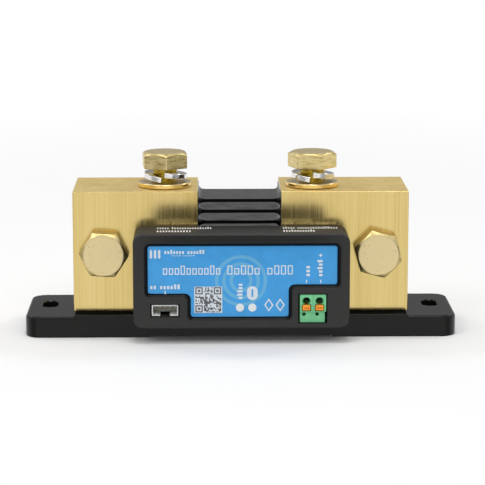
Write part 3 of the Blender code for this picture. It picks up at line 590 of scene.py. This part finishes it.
def make_paint_coats():
    """The lacquer that covers the blocks' inner faces, ragged along its edges."""
    for name, side in SIDES.items():
        low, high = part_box("terminal_block_" + name)
        face = high.x if side < 0 else low.x
        shape = bmesh.new()
        rows, columns = 84, 60
        grid = []
        for row in range(rows + 1):
            line = []
            for column in range(columns + 1):
                across, up = column / columns, row / rows
                front = low.y + 0.0003 + 0.0003 * abs(lumps((0, 0, up), 14, side * 3))
                top = high.z - 0.0008 - 0.0007 * abs(lumps((0, across, 0), 9, side * 5))
                y = front + (high.y - 0.0006 - front) * across
                z = low.z + 0.0004 + (top - low.z - 0.0004) * up
                edge = min(across, 1 - across, up, 1 - up) * 40
                thick = min(1.0, edge) * (0.00022 + 0.00036 * lumps((face, y, z), 520, side))
                thick = max(0.00001, thick)
                line.append(shape.verts.new((face - side * (thick + 0.00002), y, z)))
            grid.append(line)
        for below, above in zip(grid, grid[1:]):
            for index in range(columns):
                shape.faces.new((below[index], below[index + 1], above[index + 1], above[index]))
        piece(f"lacquer_coat_{name}", shape, "blade_paint", angle=60)


# ---------------------------------------------------------------- bolts and washers

def hexagon_radius(turn, start):
    """Distance from the middle to the side of a 17 mm hexagon with slightly worn corners."""
    within = (math.degrees(turn) - start + 30) % 60 - 30
    worn_corner = HALF_ACROSS_FLATS / math.cos(math.pi / 6) * 0.996
    return min(HALF_ACROSS_FLATS / math.cos(math.radians(within)), worn_corner)


def make_bolt(name, body, length, start, matrix):
    """Head above the local origin and M10 thread below it."""
    shape = bmesh.new()
    around = 180
    height, face_radius, slope = HEAD_HEIGHT, 0.0079, math.tan(math.radians(30))
    turns = [2 * math.pi * index / around for index in range(around)]

    def ring(place):
        points = []
        for turn in turns:
            radius, z = place(hexagon_radius(turn, start))
            points.append((radius * math.cos(turn), radius * math.sin(turn), z))
        return points

    def chamfer(radius):
        return height - (radius - face_radius) * slope

    rings = [ring(lambda r: (0.0048, 0.0001)), ring(lambda r: (r * 0.93, 0.0)),
             ring(lambda r: (r - 0.00025, 0.00002)), ring(lambda r: (r - 0.00006, 0.00012)),
             ring(lambda r: (r, 0.0003)), ring(lambda r: (r, 0.0016)), ring(lambda r: (r, 0.0030)),
             ring(lambda r: (r, chamfer(r) - 0.00035)),
             ring(lambda r: (r - 0.00003, chamfer(r) - 0.00012)),
             ring(lambda r: (r - 0.00018, chamfer(r - 0.00012))),
             ring(lambda r: (face_radius + 0.00022, chamfer(face_radius + 0.00025))),
             ring(lambda r: (face_radius - 0.00005, height - 0.00003)),
             ring(lambda r: (face_radius - 0.0004, height))]
    rings += [ring(lambda r, share=share: (0.0075 * share, height - 0.00003 * (1 - share)))
              for share in (0.9, 0.75, 0.6, 0.45, 0.3, 0.15, 0.03)]
    skin(shape, rings, False, True)
    for vert in shape.verts:
        if vert.co.xy.length > 0.0081 and 0.0004 < vert.co.z:
            dent = min(0.0, 0.00005 * lumps(vert.co, 330, start))
            vert.co += vert.co.xy.to_3d().normalized() * dent
    rows_per_turn = 8
    rows = round(length / THREAD_PITCH * rows_per_turn)
    steps = 40
    thread = []
    for row in range(rows + 1):
        z = -length * (1 - row / rows) + 0.0001
        line = []
        for step in range(steps):
            turn = 2 * math.pi * step / steps
            phase = (z / THREAD_PITCH - turn / (2 * math.pi)) % 1.0
            crest = min(1.0, max(0.0, (abs(phase - 0.5) - 0.10) / 0.32))
            radius = min(0.00408 + 0.00084 * crest, 0.0036 + (z + length))
            line.append((radius * math.cos(turn), radius * math.sin(turn), z))
        thread.append(line)
    skin(shape, thread, True, False)
    piece(name, shape, "bolt_brass", body, [body], angle=40, matrix=matrix)


def make_bolts():
    # the turn of a flat's normal, in degrees, for the top bolt and the front bolt of each side
    starts = {"left": (5.5, 26.4), "right": (20.5, 15.0)}
    for name, (top_start, front_start) in starts.items():
        low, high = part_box("top_bolt_" + name)
        seat = Vector(((low.x + high.x) / 2, (low.y + high.y) / 2, high.z - HEAD_HEIGHT))
        make_bolt(f"hexagon_bolt_top_{name}", "top_bolt_" + name, 0.030, top_start,
                  Matrix.Translation(seat))
        low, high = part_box("front_bolt_" + name)
        seat = Vector(((low.x + high.x) / 2, low.y + HEAD_HEIGHT, (low.z + high.z) / 2))
        make_bolt(f"hexagon_bolt_front_{name}", "front_bolt_" + name, 0.025, front_start,
                  Matrix.Translation(seat) @ Matrix.Rotation(math.pi / 2, 4, "X"))


def make_washers():
    for name in SIDES:
        low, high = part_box("flat_washer_" + name)
        middle = (low + high) / 2
        outer, bore, thick = (high.x - low.x) / 2, 0.0053, high.z - low.z
        profile = [(bore + 0.0002, 0), (bore, 0.0002), (bore, thick - 0.0003), (bore + 0.0003, thick)]
        # the die leaves the upper edge rounded and the lower edge nearly sharp
        profile += [(outer - inset, thick - along) for inset, along in
                    reversed(list(arc_steps(0.0005, 5)))]
        profile += [(outer, 0.0001), (outer - 0.0001, 0)]
        piece(f"plain_washer_{name}", turned(profile, 96), "washer_brass", "flat_washer_" + name,
              ["flat_washer_" + name], matrix=Matrix.Translation((middle.x, middle.y, low.z)))


def make_spring_washers():
    """A split ring that climbs clockwise."""
    split, ahead, rise, tilt = math.radians(8), math.radians(-6), 0.0022, math.radians(6.5)
    inner, outer, thick = 0.0052, 0.0085, 0.0022
    section = outline(rectangle(inner, 0, outer, thick), [0.00030] * 4, 0, 3)
    for name in SIDES:
        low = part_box("spring_washer_" + name)[0]
        bolt_low, bolt_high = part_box("top_bolt_" + name)
        centre_x, centre_y = (bolt_low.x + bolt_high.x) / 2, (bolt_low.y + bolt_high.y) / 2
        steps = 84
        rings = []
        for step in range(steps + 1):
            share = step / steps
            turn = ahead - math.pi / 2 - split / 2 - share * (2 * math.pi - split)
            rings.append([Matrix.Rotation(tilt, 3, "Y") @
                          Vector((r * math.cos(turn), r * math.sin(turn), z + rise * share))
                          for r, z in section])
        lowest = min(point.z for ring in rings for point in ring)
        shape = bmesh.new()
        skin(shape, [[point - Vector((0, 0, lowest)) for point in ring] for ring in rings])
        washer = piece(f"split_washer_{name}", shape, "spring_nickel", "spring_washer_" + name,
                       ["spring_washer_" + name],
                       matrix=Matrix.Translation((centre_x, centre_y, low.z)))
        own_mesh(washer)


# ---------------------------------------------------------------- housing and label

LABEL_CORNERS = [(-0.0363, 0.0197), (-0.0197, 0.0197), (-0.0197, 0.0105), (0.0183, 0.0105),
                 (0.0183, 0.0232), (0.0371, 0.0232), (0.0371, 0.03845), (-0.0363, 0.03845)]
LABEL_RADII = [0.0010, 0.0023, 0.0010, 0.0010, 0.0023, 0.0010, 0.0010, 0.0010]


def make_housing():
    low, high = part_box("housing_shell")
    front, step_y, step_z = low.y, -0.0157, 0.0094
    corners = rectangle(low.x, low.z, high.x, high.z)
    radii = [0.004] * 4
    shape = bmesh.new()
    whole = outline(corners, radii, 0, 10)
    stepped = [(x, max(z, step_z)) for x, z in whole]
    rings = [facing_front(stepped, high.y), facing_front(stepped, step_y), facing_front(whole, step_y)]
    rings += [facing_front(outline(corners, radii, -inset, 10), front + along)
              for inset, along in arc_steps(0.0009, 6)]
    rim = skin(shape, rings, False, False)[-1]
    # the sunk field for the label: a rounded lip, a sloping side and a short upright wall
    field = [(1.75, 0.0), (1.55, 0.03), (1.40, 0.10), (1.28, 0.22), (0.52, 0.98), (0.38, 1.10),
             (0.30, 1.25), (0.30, 2.2)]
    rings = [facing_front(outline(LABEL_CORNERS, LABEL_RADII, grow * MM, 8), front + depth * MM)
             for grow, depth in field]
    lip = skin(shape, rings[:4], False, False)
    well = bmesh.new()
    sunk = skin(well, rings[3:], False, False)
    fill(well, [sunk[-1]])
    # painted shade: the well's sloping side and wall are darker than the housing, for the shade in the
    # recess
    piece("label_well", well, "housing_plastic", material=WELL_PAINTED_SHADE)
    loops = [rim, lip[0]]
    socket_low, socket_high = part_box("data_socket")
    green_low, green_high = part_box("wire_connector")
    openings = [(rectangle(socket_low.x - 0.0005, socket_low.z - 0.0004,
                           socket_high.x + 0.0005, socket_high.z + 0.0004), 0.0003),
                (rectangle(green_low.x - 0.0006, green_low.z - 0.00015,
                           green_high.x + 0.0004, green_high.z + 0.0004), 0.0004)]
    for hole, radius in openings:
        sides = [facing_front(outline(hole, [radius] * 4, grow * MM, 4), front + depth * MM)
                 for grow, depth in ((0.22, 0), (0.07, 0.05), (0, 0.18), (0, 6.0))]
        ways = skin(shape, sides, False, False)
        loops.append(ways[0])
    fill(shape, loops)
    piece("housing_moulding", shape, "housing_plastic", stands_for=["housing_shell"])


def stadium(centre, half_width, half_height, steps=6):
    """An upright or lying bar with round ends, as (x, z) points."""
    radius = min(half_width, half_height)
    x, z = centre
    return outline(rectangle(x - half_width, z - half_height, x + half_width, z + half_height),
                   [radius * 0.98] * 4, 0, steps)


def box_bar(centre, half_width, half_height, radius=0.00012):
    x, z = centre
    return outline(rectangle(x - half_width, z - half_height, x + half_width, z + half_height),
                   [min(radius, half_width * 0.9, half_height * 0.9)] * 4, 0, 3)


def band(shape, outer, inner, place):
    """A flat band between two outlines with the same number of points."""
    skin(shape, [[place(*point) for point in outer], [place(*point) for point in inner]], False, False)


def patch(shape, points, place):
    shape.faces.new([shape.verts.new(place(*point)) for point in points])


def dashes(shape, place, low, high, counts, rng, upright=False, fill_share=0.62):
    """A line of printed dashes in groups, which stands for a line of small print."""
    length = (high[1] - low[1]) if upright else (high[0] - low[0])
    cells = sum(counts) + 0.8 * (len(counts) - 1)
    pitch = length / cells
    depth = (high[0] - low[0]) if upright else (high[1] - low[1])
    along = 0.0
    for count in counts:
        for _ in range(count):
            tall = depth * rng.choice((0.68, 0.68, 0.72, 1.0))
            middle = along + pitch / 2
            half_width, half_height = pitch * fill_share / 2, tall / 2
            if upright:
                centre = (high[0] - half_height, low[1] + middle)
                patch(shape, box_bar(centre, half_height, half_width), place)
            else:
                centre = (low[0] + middle, low[1] + half_height)
                patch(shape, box_bar(centre, half_width, half_height), place)
            along += pitch
        along += 0.8 * pitch


def tiles(shape, place, low, high, counts, stroke, rng):
    """A line of hollow square tiles in groups, which stands for a line of large print."""
    cells = sum(counts) + 0.9 * (len(counts) - 1)
    pitch = (high[0] - low[0]) / cells
    along = low[0]
    for count in counts:
        for _ in range(count):
            tall = (high[1] - low[1]) * rng.choice((0.72, 0.72, 1.0))
            centre = (along + pitch / 2, low[1] + tall / 2)
            half_width = pitch * 0.37
            corners = rectangle(centre[0] - half_width, low[1], centre[0] + half_width, low[1] + tall)
            band(shape, outline(corners, [0.00015] * 4, 0, 2),
                 outline(corners, [0.00015] * 4, -stroke, 2), place)
            along += pitch
        along += 0.9 * pitch


def make_label():
    low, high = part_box("label")
    film = bmesh.new()
    rings = [facing_front(outline(LABEL_CORNERS, LABEL_RADII, 0, 8), high.y),
             facing_front(outline(LABEL_CORNERS, LABEL_RADII, 0, 8), low.y + 0.00006),
             facing_front(outline(LABEL_CORNERS, LABEL_RADII, -0.00006, 8), low.y)]
    edge = skin(film, rings, True, False)[-1]
    fill(film, [edge])
    piece("label_film", film, "label_print", stands_for=["label"])

    def on_film(x, z):
        return (x, low.y - 0.00003, z)

    def under_print(x, z):
        return (x, low.y - 0.000015, z)

    rng = random.Random(7)
    pale = bmesh.new()
    centre, width = (-0.0002, 0.02475), 0.0013
    for radius in (0.0101, 0.0073, 0.0045):
        band(pale, circle(centre, radius, 72), circle(centre, radius - width, 72), under_print)
    piece("label_ink_pale", pale, "label_print", material=INKS["pale"])

    white = bmesh.new()
    for k in range(3):
        patch(white, stadium((-0.0350 + k * 0.0016, 0.0353), 0.00045, 0.0017), on_film)
    dashes(white, on_film, (-0.0300, 0.0354), (-0.0142, 0.0370), (7, 6), rng)
    dashes(white, on_film, (-0.0272, 0.0345), (-0.0180, 0.0350), (4, 5), rng, fill_share=0.5)
    tiles(white, on_film, (-0.0307, 0.0272), (-0.0079, 0.0308), (10,), 0.00040, rng)
    tiles(white, on_film, (-0.0058, 0.0272), (0.0202, 0.0308), (5, 4), 0.00040, rng)
    dashes(white, on_film, (-0.0356, 0.0215), (-0.0237, 0.0234), (2, 6), rng)
    patch(white, box_bar((-0.0296, 0.0202), 0.00022, 0.0007), on_film)
    dashes(white, on_film, (-0.0017, 0.0173), (0.0004, 0.0238), (5,), rng, upright=True)
    dashes(white, on_film, (0.0245, 0.0262), (0.0265, 0.0308), (3,), rng, upright=True)
    dashes(white, on_film, (0.0294, 0.0262), (0.0314, 0.0331), (5,), rng, upright=True)
    patch(white, box_bar((0.0252, 0.0244), 0.00022, 0.00065), on_film)
    patch(white, box_bar((0.0307, 0.0244), 0.00022, 0.00065), on_film)
    patch(white, box_bar((0.0306, 0.0347), 0.00018, 0.0007), on_film)
    patch(white, box_bar((0.0306, 0.0347), 0.0007, 0.00018), lambda x, z: (x, low.y - 0.000028, z))
    diamond = ((0, -1), (1, 0), (0, 1), (-1, 0))
    for x, z in ((0.0106, 0.0151), (0.0150, 0.0151)):
        band(white, [(x + across * 0.0018, z + up * 0.0026) for across, up in diamond],
             [(x + across * 0.0012, z + up * 0.0018) for across, up in diamond], on_film)
    patch(white, stadium((0.0042, 0.01985), 0.0021, 0.00275), on_film)
    patch(white, box_bar((-0.0129, 0.01725), 0.0054, 0.0052, 0.0002), on_film)
    piece("label_ink_white", white, "label_print", material=INKS["white"])

    blue = bmesh.new()
    patch(blue, stadium((0.0042, 0.01985), 0.00035, 0.0016), lambda x, z: (x, low.y - 0.00005, z))
    piece("label_ink_blue", blue, "label_print")

    dark = bmesh.new()
    cells = 21
    cell = 0.0100 / cells

    def on_white(x, z):
        return (x, low.y - 0.00005, z)

    def corner_mark(column, row):
        """Whether a cell is in one of three corner marks, and whether it is printed."""
        for left, foot in ((0, 0), (0, cells - 6), (cells - 6, cells - 6)):
            across, up = column - left, row - foot
            if -1 <= across <= 6 and -1 <= up <= 6:
                ring = max(abs(across - 2.5), abs(up - 2.5))
                return True, ring < 1.2 or 2 < ring < 3
        return False, False

    for column in range(cells):
        for row in range(cells):
            marked, printed = corner_mark(column, row)
            if not marked:
                printed = rng.random() < 0.5
            if printed:
                x = -0.0129 + (column - cells / 2) * cell
                z = 0.01725 + (row - cells / 2) * cell
                patch(dark, rectangle(x, z, x + cell, z + cell), on_white)
    piece("label_ink_dark", dark, "label_print", material=INKS["dark"])

    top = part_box("housing_shell")[1].z + 0.00003
    print_top = bmesh.new()

    def on_top(x, y):
        return (x, y, top)

    for start, stop, second in ((-0.0330, -0.0114, -0.0194), (0.0161, 0.0378, 0.0287)):
        dashes(print_top, on_top, (start, -0.0164), (stop, -0.0120), (5, 16), rng, fill_share=0.5)
        dashes(print_top, on_top, (start, -0.0228), (second, -0.0182), (12,), rng, fill_share=0.5)
    piece("housing_print", print_top, "housing_plastic", material=INKS["housing"])


# ---------------------------------------------------------------- lights, socket and connector

def make_lights():
    for number in (1, 2):
        low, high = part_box(f"light_pipe_{number}")
        radius, front, back = (high.x - low.x) / 2, low.y - 0.0001, high.y
        centre = ((low.x + high.x) / 2, (low.z + high.z) / 2)
        profile = [(1, back - front), (1, 0.00022), (0.985, 0.00012), (0.94, 0.00005), (0.7, 0.00001),
                   (0.02, 0.0)]
        shape = bmesh.new()
        skin(shape, [facing_front(circle(centre, radius * share, 48), front + depth)
                     for share, depth in profile])
        piece(f"light_lens_{number}", shape, "light_pipe", stands_for=[f"light_pipe_{number}"])


def make_socket():
    low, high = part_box("data_socket")
    wall, notch, depth = 0.0005, 0.0038, 0.0085
    middle = (low.x + high.x) / 2
    body = rounded_block(low, high, 0.00012, steps=2)
    cutters = [rounded_block((low.x + wall, low.y - 0.002, low.z + wall),
                             (high.x - wall, low.y + depth, high.z - wall), 0.00015, steps=2),
               rounded_block((middle - notch / 2, low.y - 0.002, low.z - 0.002),
                             (middle + notch / 2, low.y + depth - wall, low.z + wall * 2), 0.00008, steps=2)]
    # two narrow grooves cut into the side walls at the mouth
    for side in (-1, 1):
        x = middle + side * ((high.x - low.x) / 2 - wall)
        cutters.append(rounded_block((x - 0.0002, low.y - 0.001, low.z + wall + 0.0004),
                                     (x + 0.0002, low.y + 0.0006, high.z - wall - 0.0004),
                                     0.00008, steps=2))
    piece("socket_moulding", carved(body, cutters), "socket_plastic",
          stands_for=["data_socket"], angle=40)
    for number in range(1, 5):
        node = f"data_socket_pin_{number}"
        pin_low, pin_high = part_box(node)
        x, z = (pin_low.x + pin_high.x) / 2, (pin_low.z + pin_high.z) / 2
        rings = []
        for inset, along in ((0.00015, 0.0), (0.00006, 0.00025), (0.0, 0.0007),
                             (0.0, pin_high.y - pin_low.y)):
            half = (pin_high.x - pin_low.x) / 2 - inset
            rings.append(facing_front(outline(rectangle(x - half, z - half, x + half, z + half),
                                              [0.00005] * 4, 0, 2), pin_low.y + along))
        shape = bmesh.new()
        skin(shape, rings)
        piece(f"socket_contact_{number}", shape, "contact_pin", stands_for=[node])


def make_connector():
    low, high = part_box("wire_connector")
    split, lower_front, lower_back, hole_z, test_z = 0.01265, -0.0258, -0.0182, 0.0168, 0.0115
    middle = (low.x + high.x) / 2
    upper = rounded_block((low.x, low.y, split), (high.x, high.y, high.z), 0.00018, steps=2)
    lower = rounded_block((low.x, lower_front, low.z), (high.x - 0.0004, lower_back, split + 0.0003),
                          0.00015, steps=2)
    ribs = [rounded_block((middle + offset - 0.0004, low.y + 0.0010, high.z - 0.0004),
                          (middle + offset + 0.0004, low.y + 0.0050, high.z), 0.00008, steps=2)
            for offset in (-0.0025, 0.0025)]
    body = carved(upper, [lower, *ribs], "UNION")
    cutters = [rounded_block((middle - 0.00012, low.y - 0.001, low.z - 0.001),
                             (middle + 0.00012, low.y + 0.00035, high.z + 0.001), 0.00003, steps=1)]
    for offset in (-0.00254, 0.00254):
        x = middle + offset
        lever_low, lever_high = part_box("release_lever_1" if offset < 0 else "release_lever_2")
        cutters += [rod((x, low.y - 0.001, hole_z), (x, low.y + 0.011, hole_z), 0.00142),
                    rod((x, low.y - 0.0001, hole_z), (x, low.y + 0.0006, hole_z), 0.00178, 0.00140),
                    rod((x - 0.0009, lower_front - 0.002, test_z), (x - 0.0009, lower_front + 0.004, test_z),
                        0.00072, segments=24),
                    rounded_block((lever_low.x - 0.0003, low.y - 0.001, lever_low.z - 0.0003),
                                  (lever_high.x + 0.0003, lever_high.y + 0.0016, lever_high.z + 0.0003),
                                  0.0001, steps=1)]
    piece("connector_moulding", carved(body, cutters), "connector_green",
          stands_for=["wire_connector"], angle=40)
    for number in (1, 2):
        node = f"release_lever_{number}"
        lever_low, lever_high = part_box(node)
        x = (lever_low.x + lever_high.x) / 2
        z = (lever_low.z + lever_high.z) / 2
        shape = rounded_block(lever_low, lever_high, 0.00018, steps=3)
        slot = [rounded_block((x - 0.0011, lever_low.y - 0.001, z - 0.00035),
                              (x + 0.0011, lever_low.y + 0.0005, z + 0.00020), 0.0001, steps=2)]
        piece(f"lever_button_{number}", carved(shape, slot), "lever_orange", node, [node], angle=40)


# ---------------------------------------------------------------- what stays as CAD

def finish_cad_nodes():
    """Materials for the CAD nodes that show, by the record's material slots, and softer edges."""
    slots = {part["node"]: part["material_slot"] for part in frame["record"]["subparts"]}
    for name, node in frame["nodes"].items():
        if node.hide_render:
            continue
        node.data.materials.clear()
        node.data.materials.append(PALETTE[slots[name]])
        weld = node.modifiers.new("Weld", "WELD")
        weld.merge_threshold = 1e-6
        bevel = node.modifiers.new("Bevel", "BEVEL")
        bevel.width = 0.00008
        bevel.segments = 2
        bevel.limit_method = "ANGLE"
        bevel.angle_limit = math.radians(35)


# ---------------------------------------------------------------- floor, lights and camera

def make_floor():
    floor_mesh = bpy.data.meshes.new("floor")
    shape = bmesh.new()
    bmesh.ops.create_grid(shape, x_segments=1, y_segments=1, size=6.0)
    shape.to_mesh(floor_mesh)
    shape.free()
    floor = bpy.data.objects.new("floor", floor_mesh)
    floor.location.z = -0.00005
    # gloss shows the studio below, which stands for the white table and its dark surroundings
    floor.visible_glossy = False
    bpy.context.scene.collection.objects.link(floor)
    finish = Finish("studio_floor", (0.82, 0.82, 0.82), 0.9, 0.0, **{"Specular IOR Level": 0.0})
    away = finish.add("VectorMath", {0: finish.place}, operation="LENGTH").outputs["Value"]
    finish.feed(finish.shader, {"Emission Color": (1.0, 1.0, 1.0, 1.0),
                                "Emission Strength": finish.span(away, 0.25, 1.3, 0.0, 0.42)})
    floor_mesh.materials.append(finish.material)


def make_flag():
    """A dark card before the housing, seen by gloss only: it deepens the housing's image in the brass."""
    shape = bmesh.new()
    card = outline(rectangle(-0.0355, 0.0260, 0.0355, 0.0450), [0.0040] * 4, 0, 6)
    shape.faces.new([shape.verts.new(point) for point in facing_front(card, -0.0500)])
    mesh = bpy.data.meshes.new("flag")
    shape.to_mesh(mesh)
    shape.free()
    mesh.materials.append(plastic("studio_flag", (0.11, 0.11, 0.10), 1.0, **{"Specular IOR Level": 0.0}))
    flag = bpy.data.objects.new("flag", mesh)
    flag.visible_camera = flag.visible_diffuse = False
    flag.visible_shadow = flag.visible_transmission = False
    bpy.context.scene.collection.objects.link(flag)


def make_world():
    """A bright room, darker in a few soft patches that give the brass and the plastic their shading."""
    world = bpy.data.worlds.new("studio")
    world.use_nodes = True
    tree = world.node_tree
    background = tree.nodes["Background"]
    direction = tree.nodes.new("ShaderNodeTexCoord").outputs["Generated"]

    def span(value, start, stop, first, last):
        node = tree.nodes.new("ShaderNodeMapRange")
        node.interpolation_type = "SMOOTHSTEP"
        for index, number in enumerate((start, stop, first, last), start=1):
            node.inputs[index].default_value = number
        tree.links.new(value, node.inputs[0])
        return node.outputs[0]

    def patch_towards(place, inner, outer, level):
        dot = tree.nodes.new("ShaderNodeVectorMath")
        dot.operation = "DOT_PRODUCT"
        tree.links.new(direction, dot.inputs[0])
        dot.inputs[1].default_value = Vector(place).normalized()
        return span(dot.outputs["Value"], math.cos(math.radians(outer)), math.cos(math.radians(inner)),
                    1.0, level)

    split = tree.nodes.new("ShaderNodeSeparateXYZ")
    tree.links.new(direction, split.inputs[0])
    strength = span(split.outputs[2], -0.02, 0.10, 0.97, 0.66)
    patches = [((0.0, 1.0, 0.16), 9, 20, 0.42), ((0.0, 0.35, -0.94), 20, 60, 0.15)]
    patches += [((side * 0.85, -0.5, -0.19), 12, 28, 0.45) for side in SIDES.values()]
    for place, inner, outer, level in patches:
        product = tree.nodes.new("ShaderNodeMath")
        product.operation = "MULTIPLY"
        tree.links.new(strength, product.inputs[0])
        tree.links.new(patch_towards(place, inner, outer, level), product.inputs[1])
        strength = product.outputs[0]
    tree.links.new(strength, background.inputs["Strength"])
    background.inputs["Color"].default_value = (1.0, 1.0, 1.0, 1.0)
    bpy.context.scene.world = world


def make_lamps():
    # name, place, width in metres and power in watts
    lamps = [("key", (-0.75, -0.75, 1.10), 0.60, 3.0), ("front", (0.25, -0.95, 1.05), 0.50, 2.2),
             ("top", (0.0, -0.15, 1.30), 0.30, 4.0),
             ("rim_left", (-0.80, 0.47, 0.90), 0.20, 2.0),
             ("rim_right", (0.80, 0.47, 0.90), 0.20, 2.0)]
    for name, place, size, power in lamps:
        light = bpy.data.lights.new(name, "AREA")
        light.size = size
        light.energy = power
        lamp = bpy.data.objects.new(name, light)
        lamp.location = place
        lamp.rotation_mode = "QUATERNION"
        lamp.rotation_quaternion = (Vector((0, 0, 0.03)) - Vector(place)).to_track_quat("-Z", "Y")
        bpy.context.scene.collection.objects.link(lamp)


def make_camera():
    down, aside = math.radians(10.76), math.radians(1.0)
    ahead = Vector((math.sin(aside) * math.cos(down), math.cos(aside) * math.cos(down), -math.sin(down)))
    camera = bpy.data.objects.new("camera", bpy.data.cameras.new("camera"))
    camera.data.sensor_width = 36.0
    camera.data.lens = 159.29
    camera.data.clip_start, camera.data.clip_end = 0.05, 20.0
    camera.location = Vector((0.00082, 0.0, 0.0350)) - ahead * 0.85428
    camera.rotation_mode = "QUATERNION"
    camera.rotation_quaternion = ahead.to_track_quat("-Z", "Y")
    bpy.context.scene.collection.objects.link(camera)
    bpy.context.scene.camera = camera


make_base()
make_blocks()
make_blades()
make_paint_coats()
make_bolts()
make_washers()
make_spring_washers()
make_housing()
make_label()
make_lights()
make_socket()
make_connector()
finish_cad_nodes()
make_floor()
make_flag()
make_world()
make_lamps()
make_camera()
bpy.context.scene.view_settings.view_transform = "Standard"
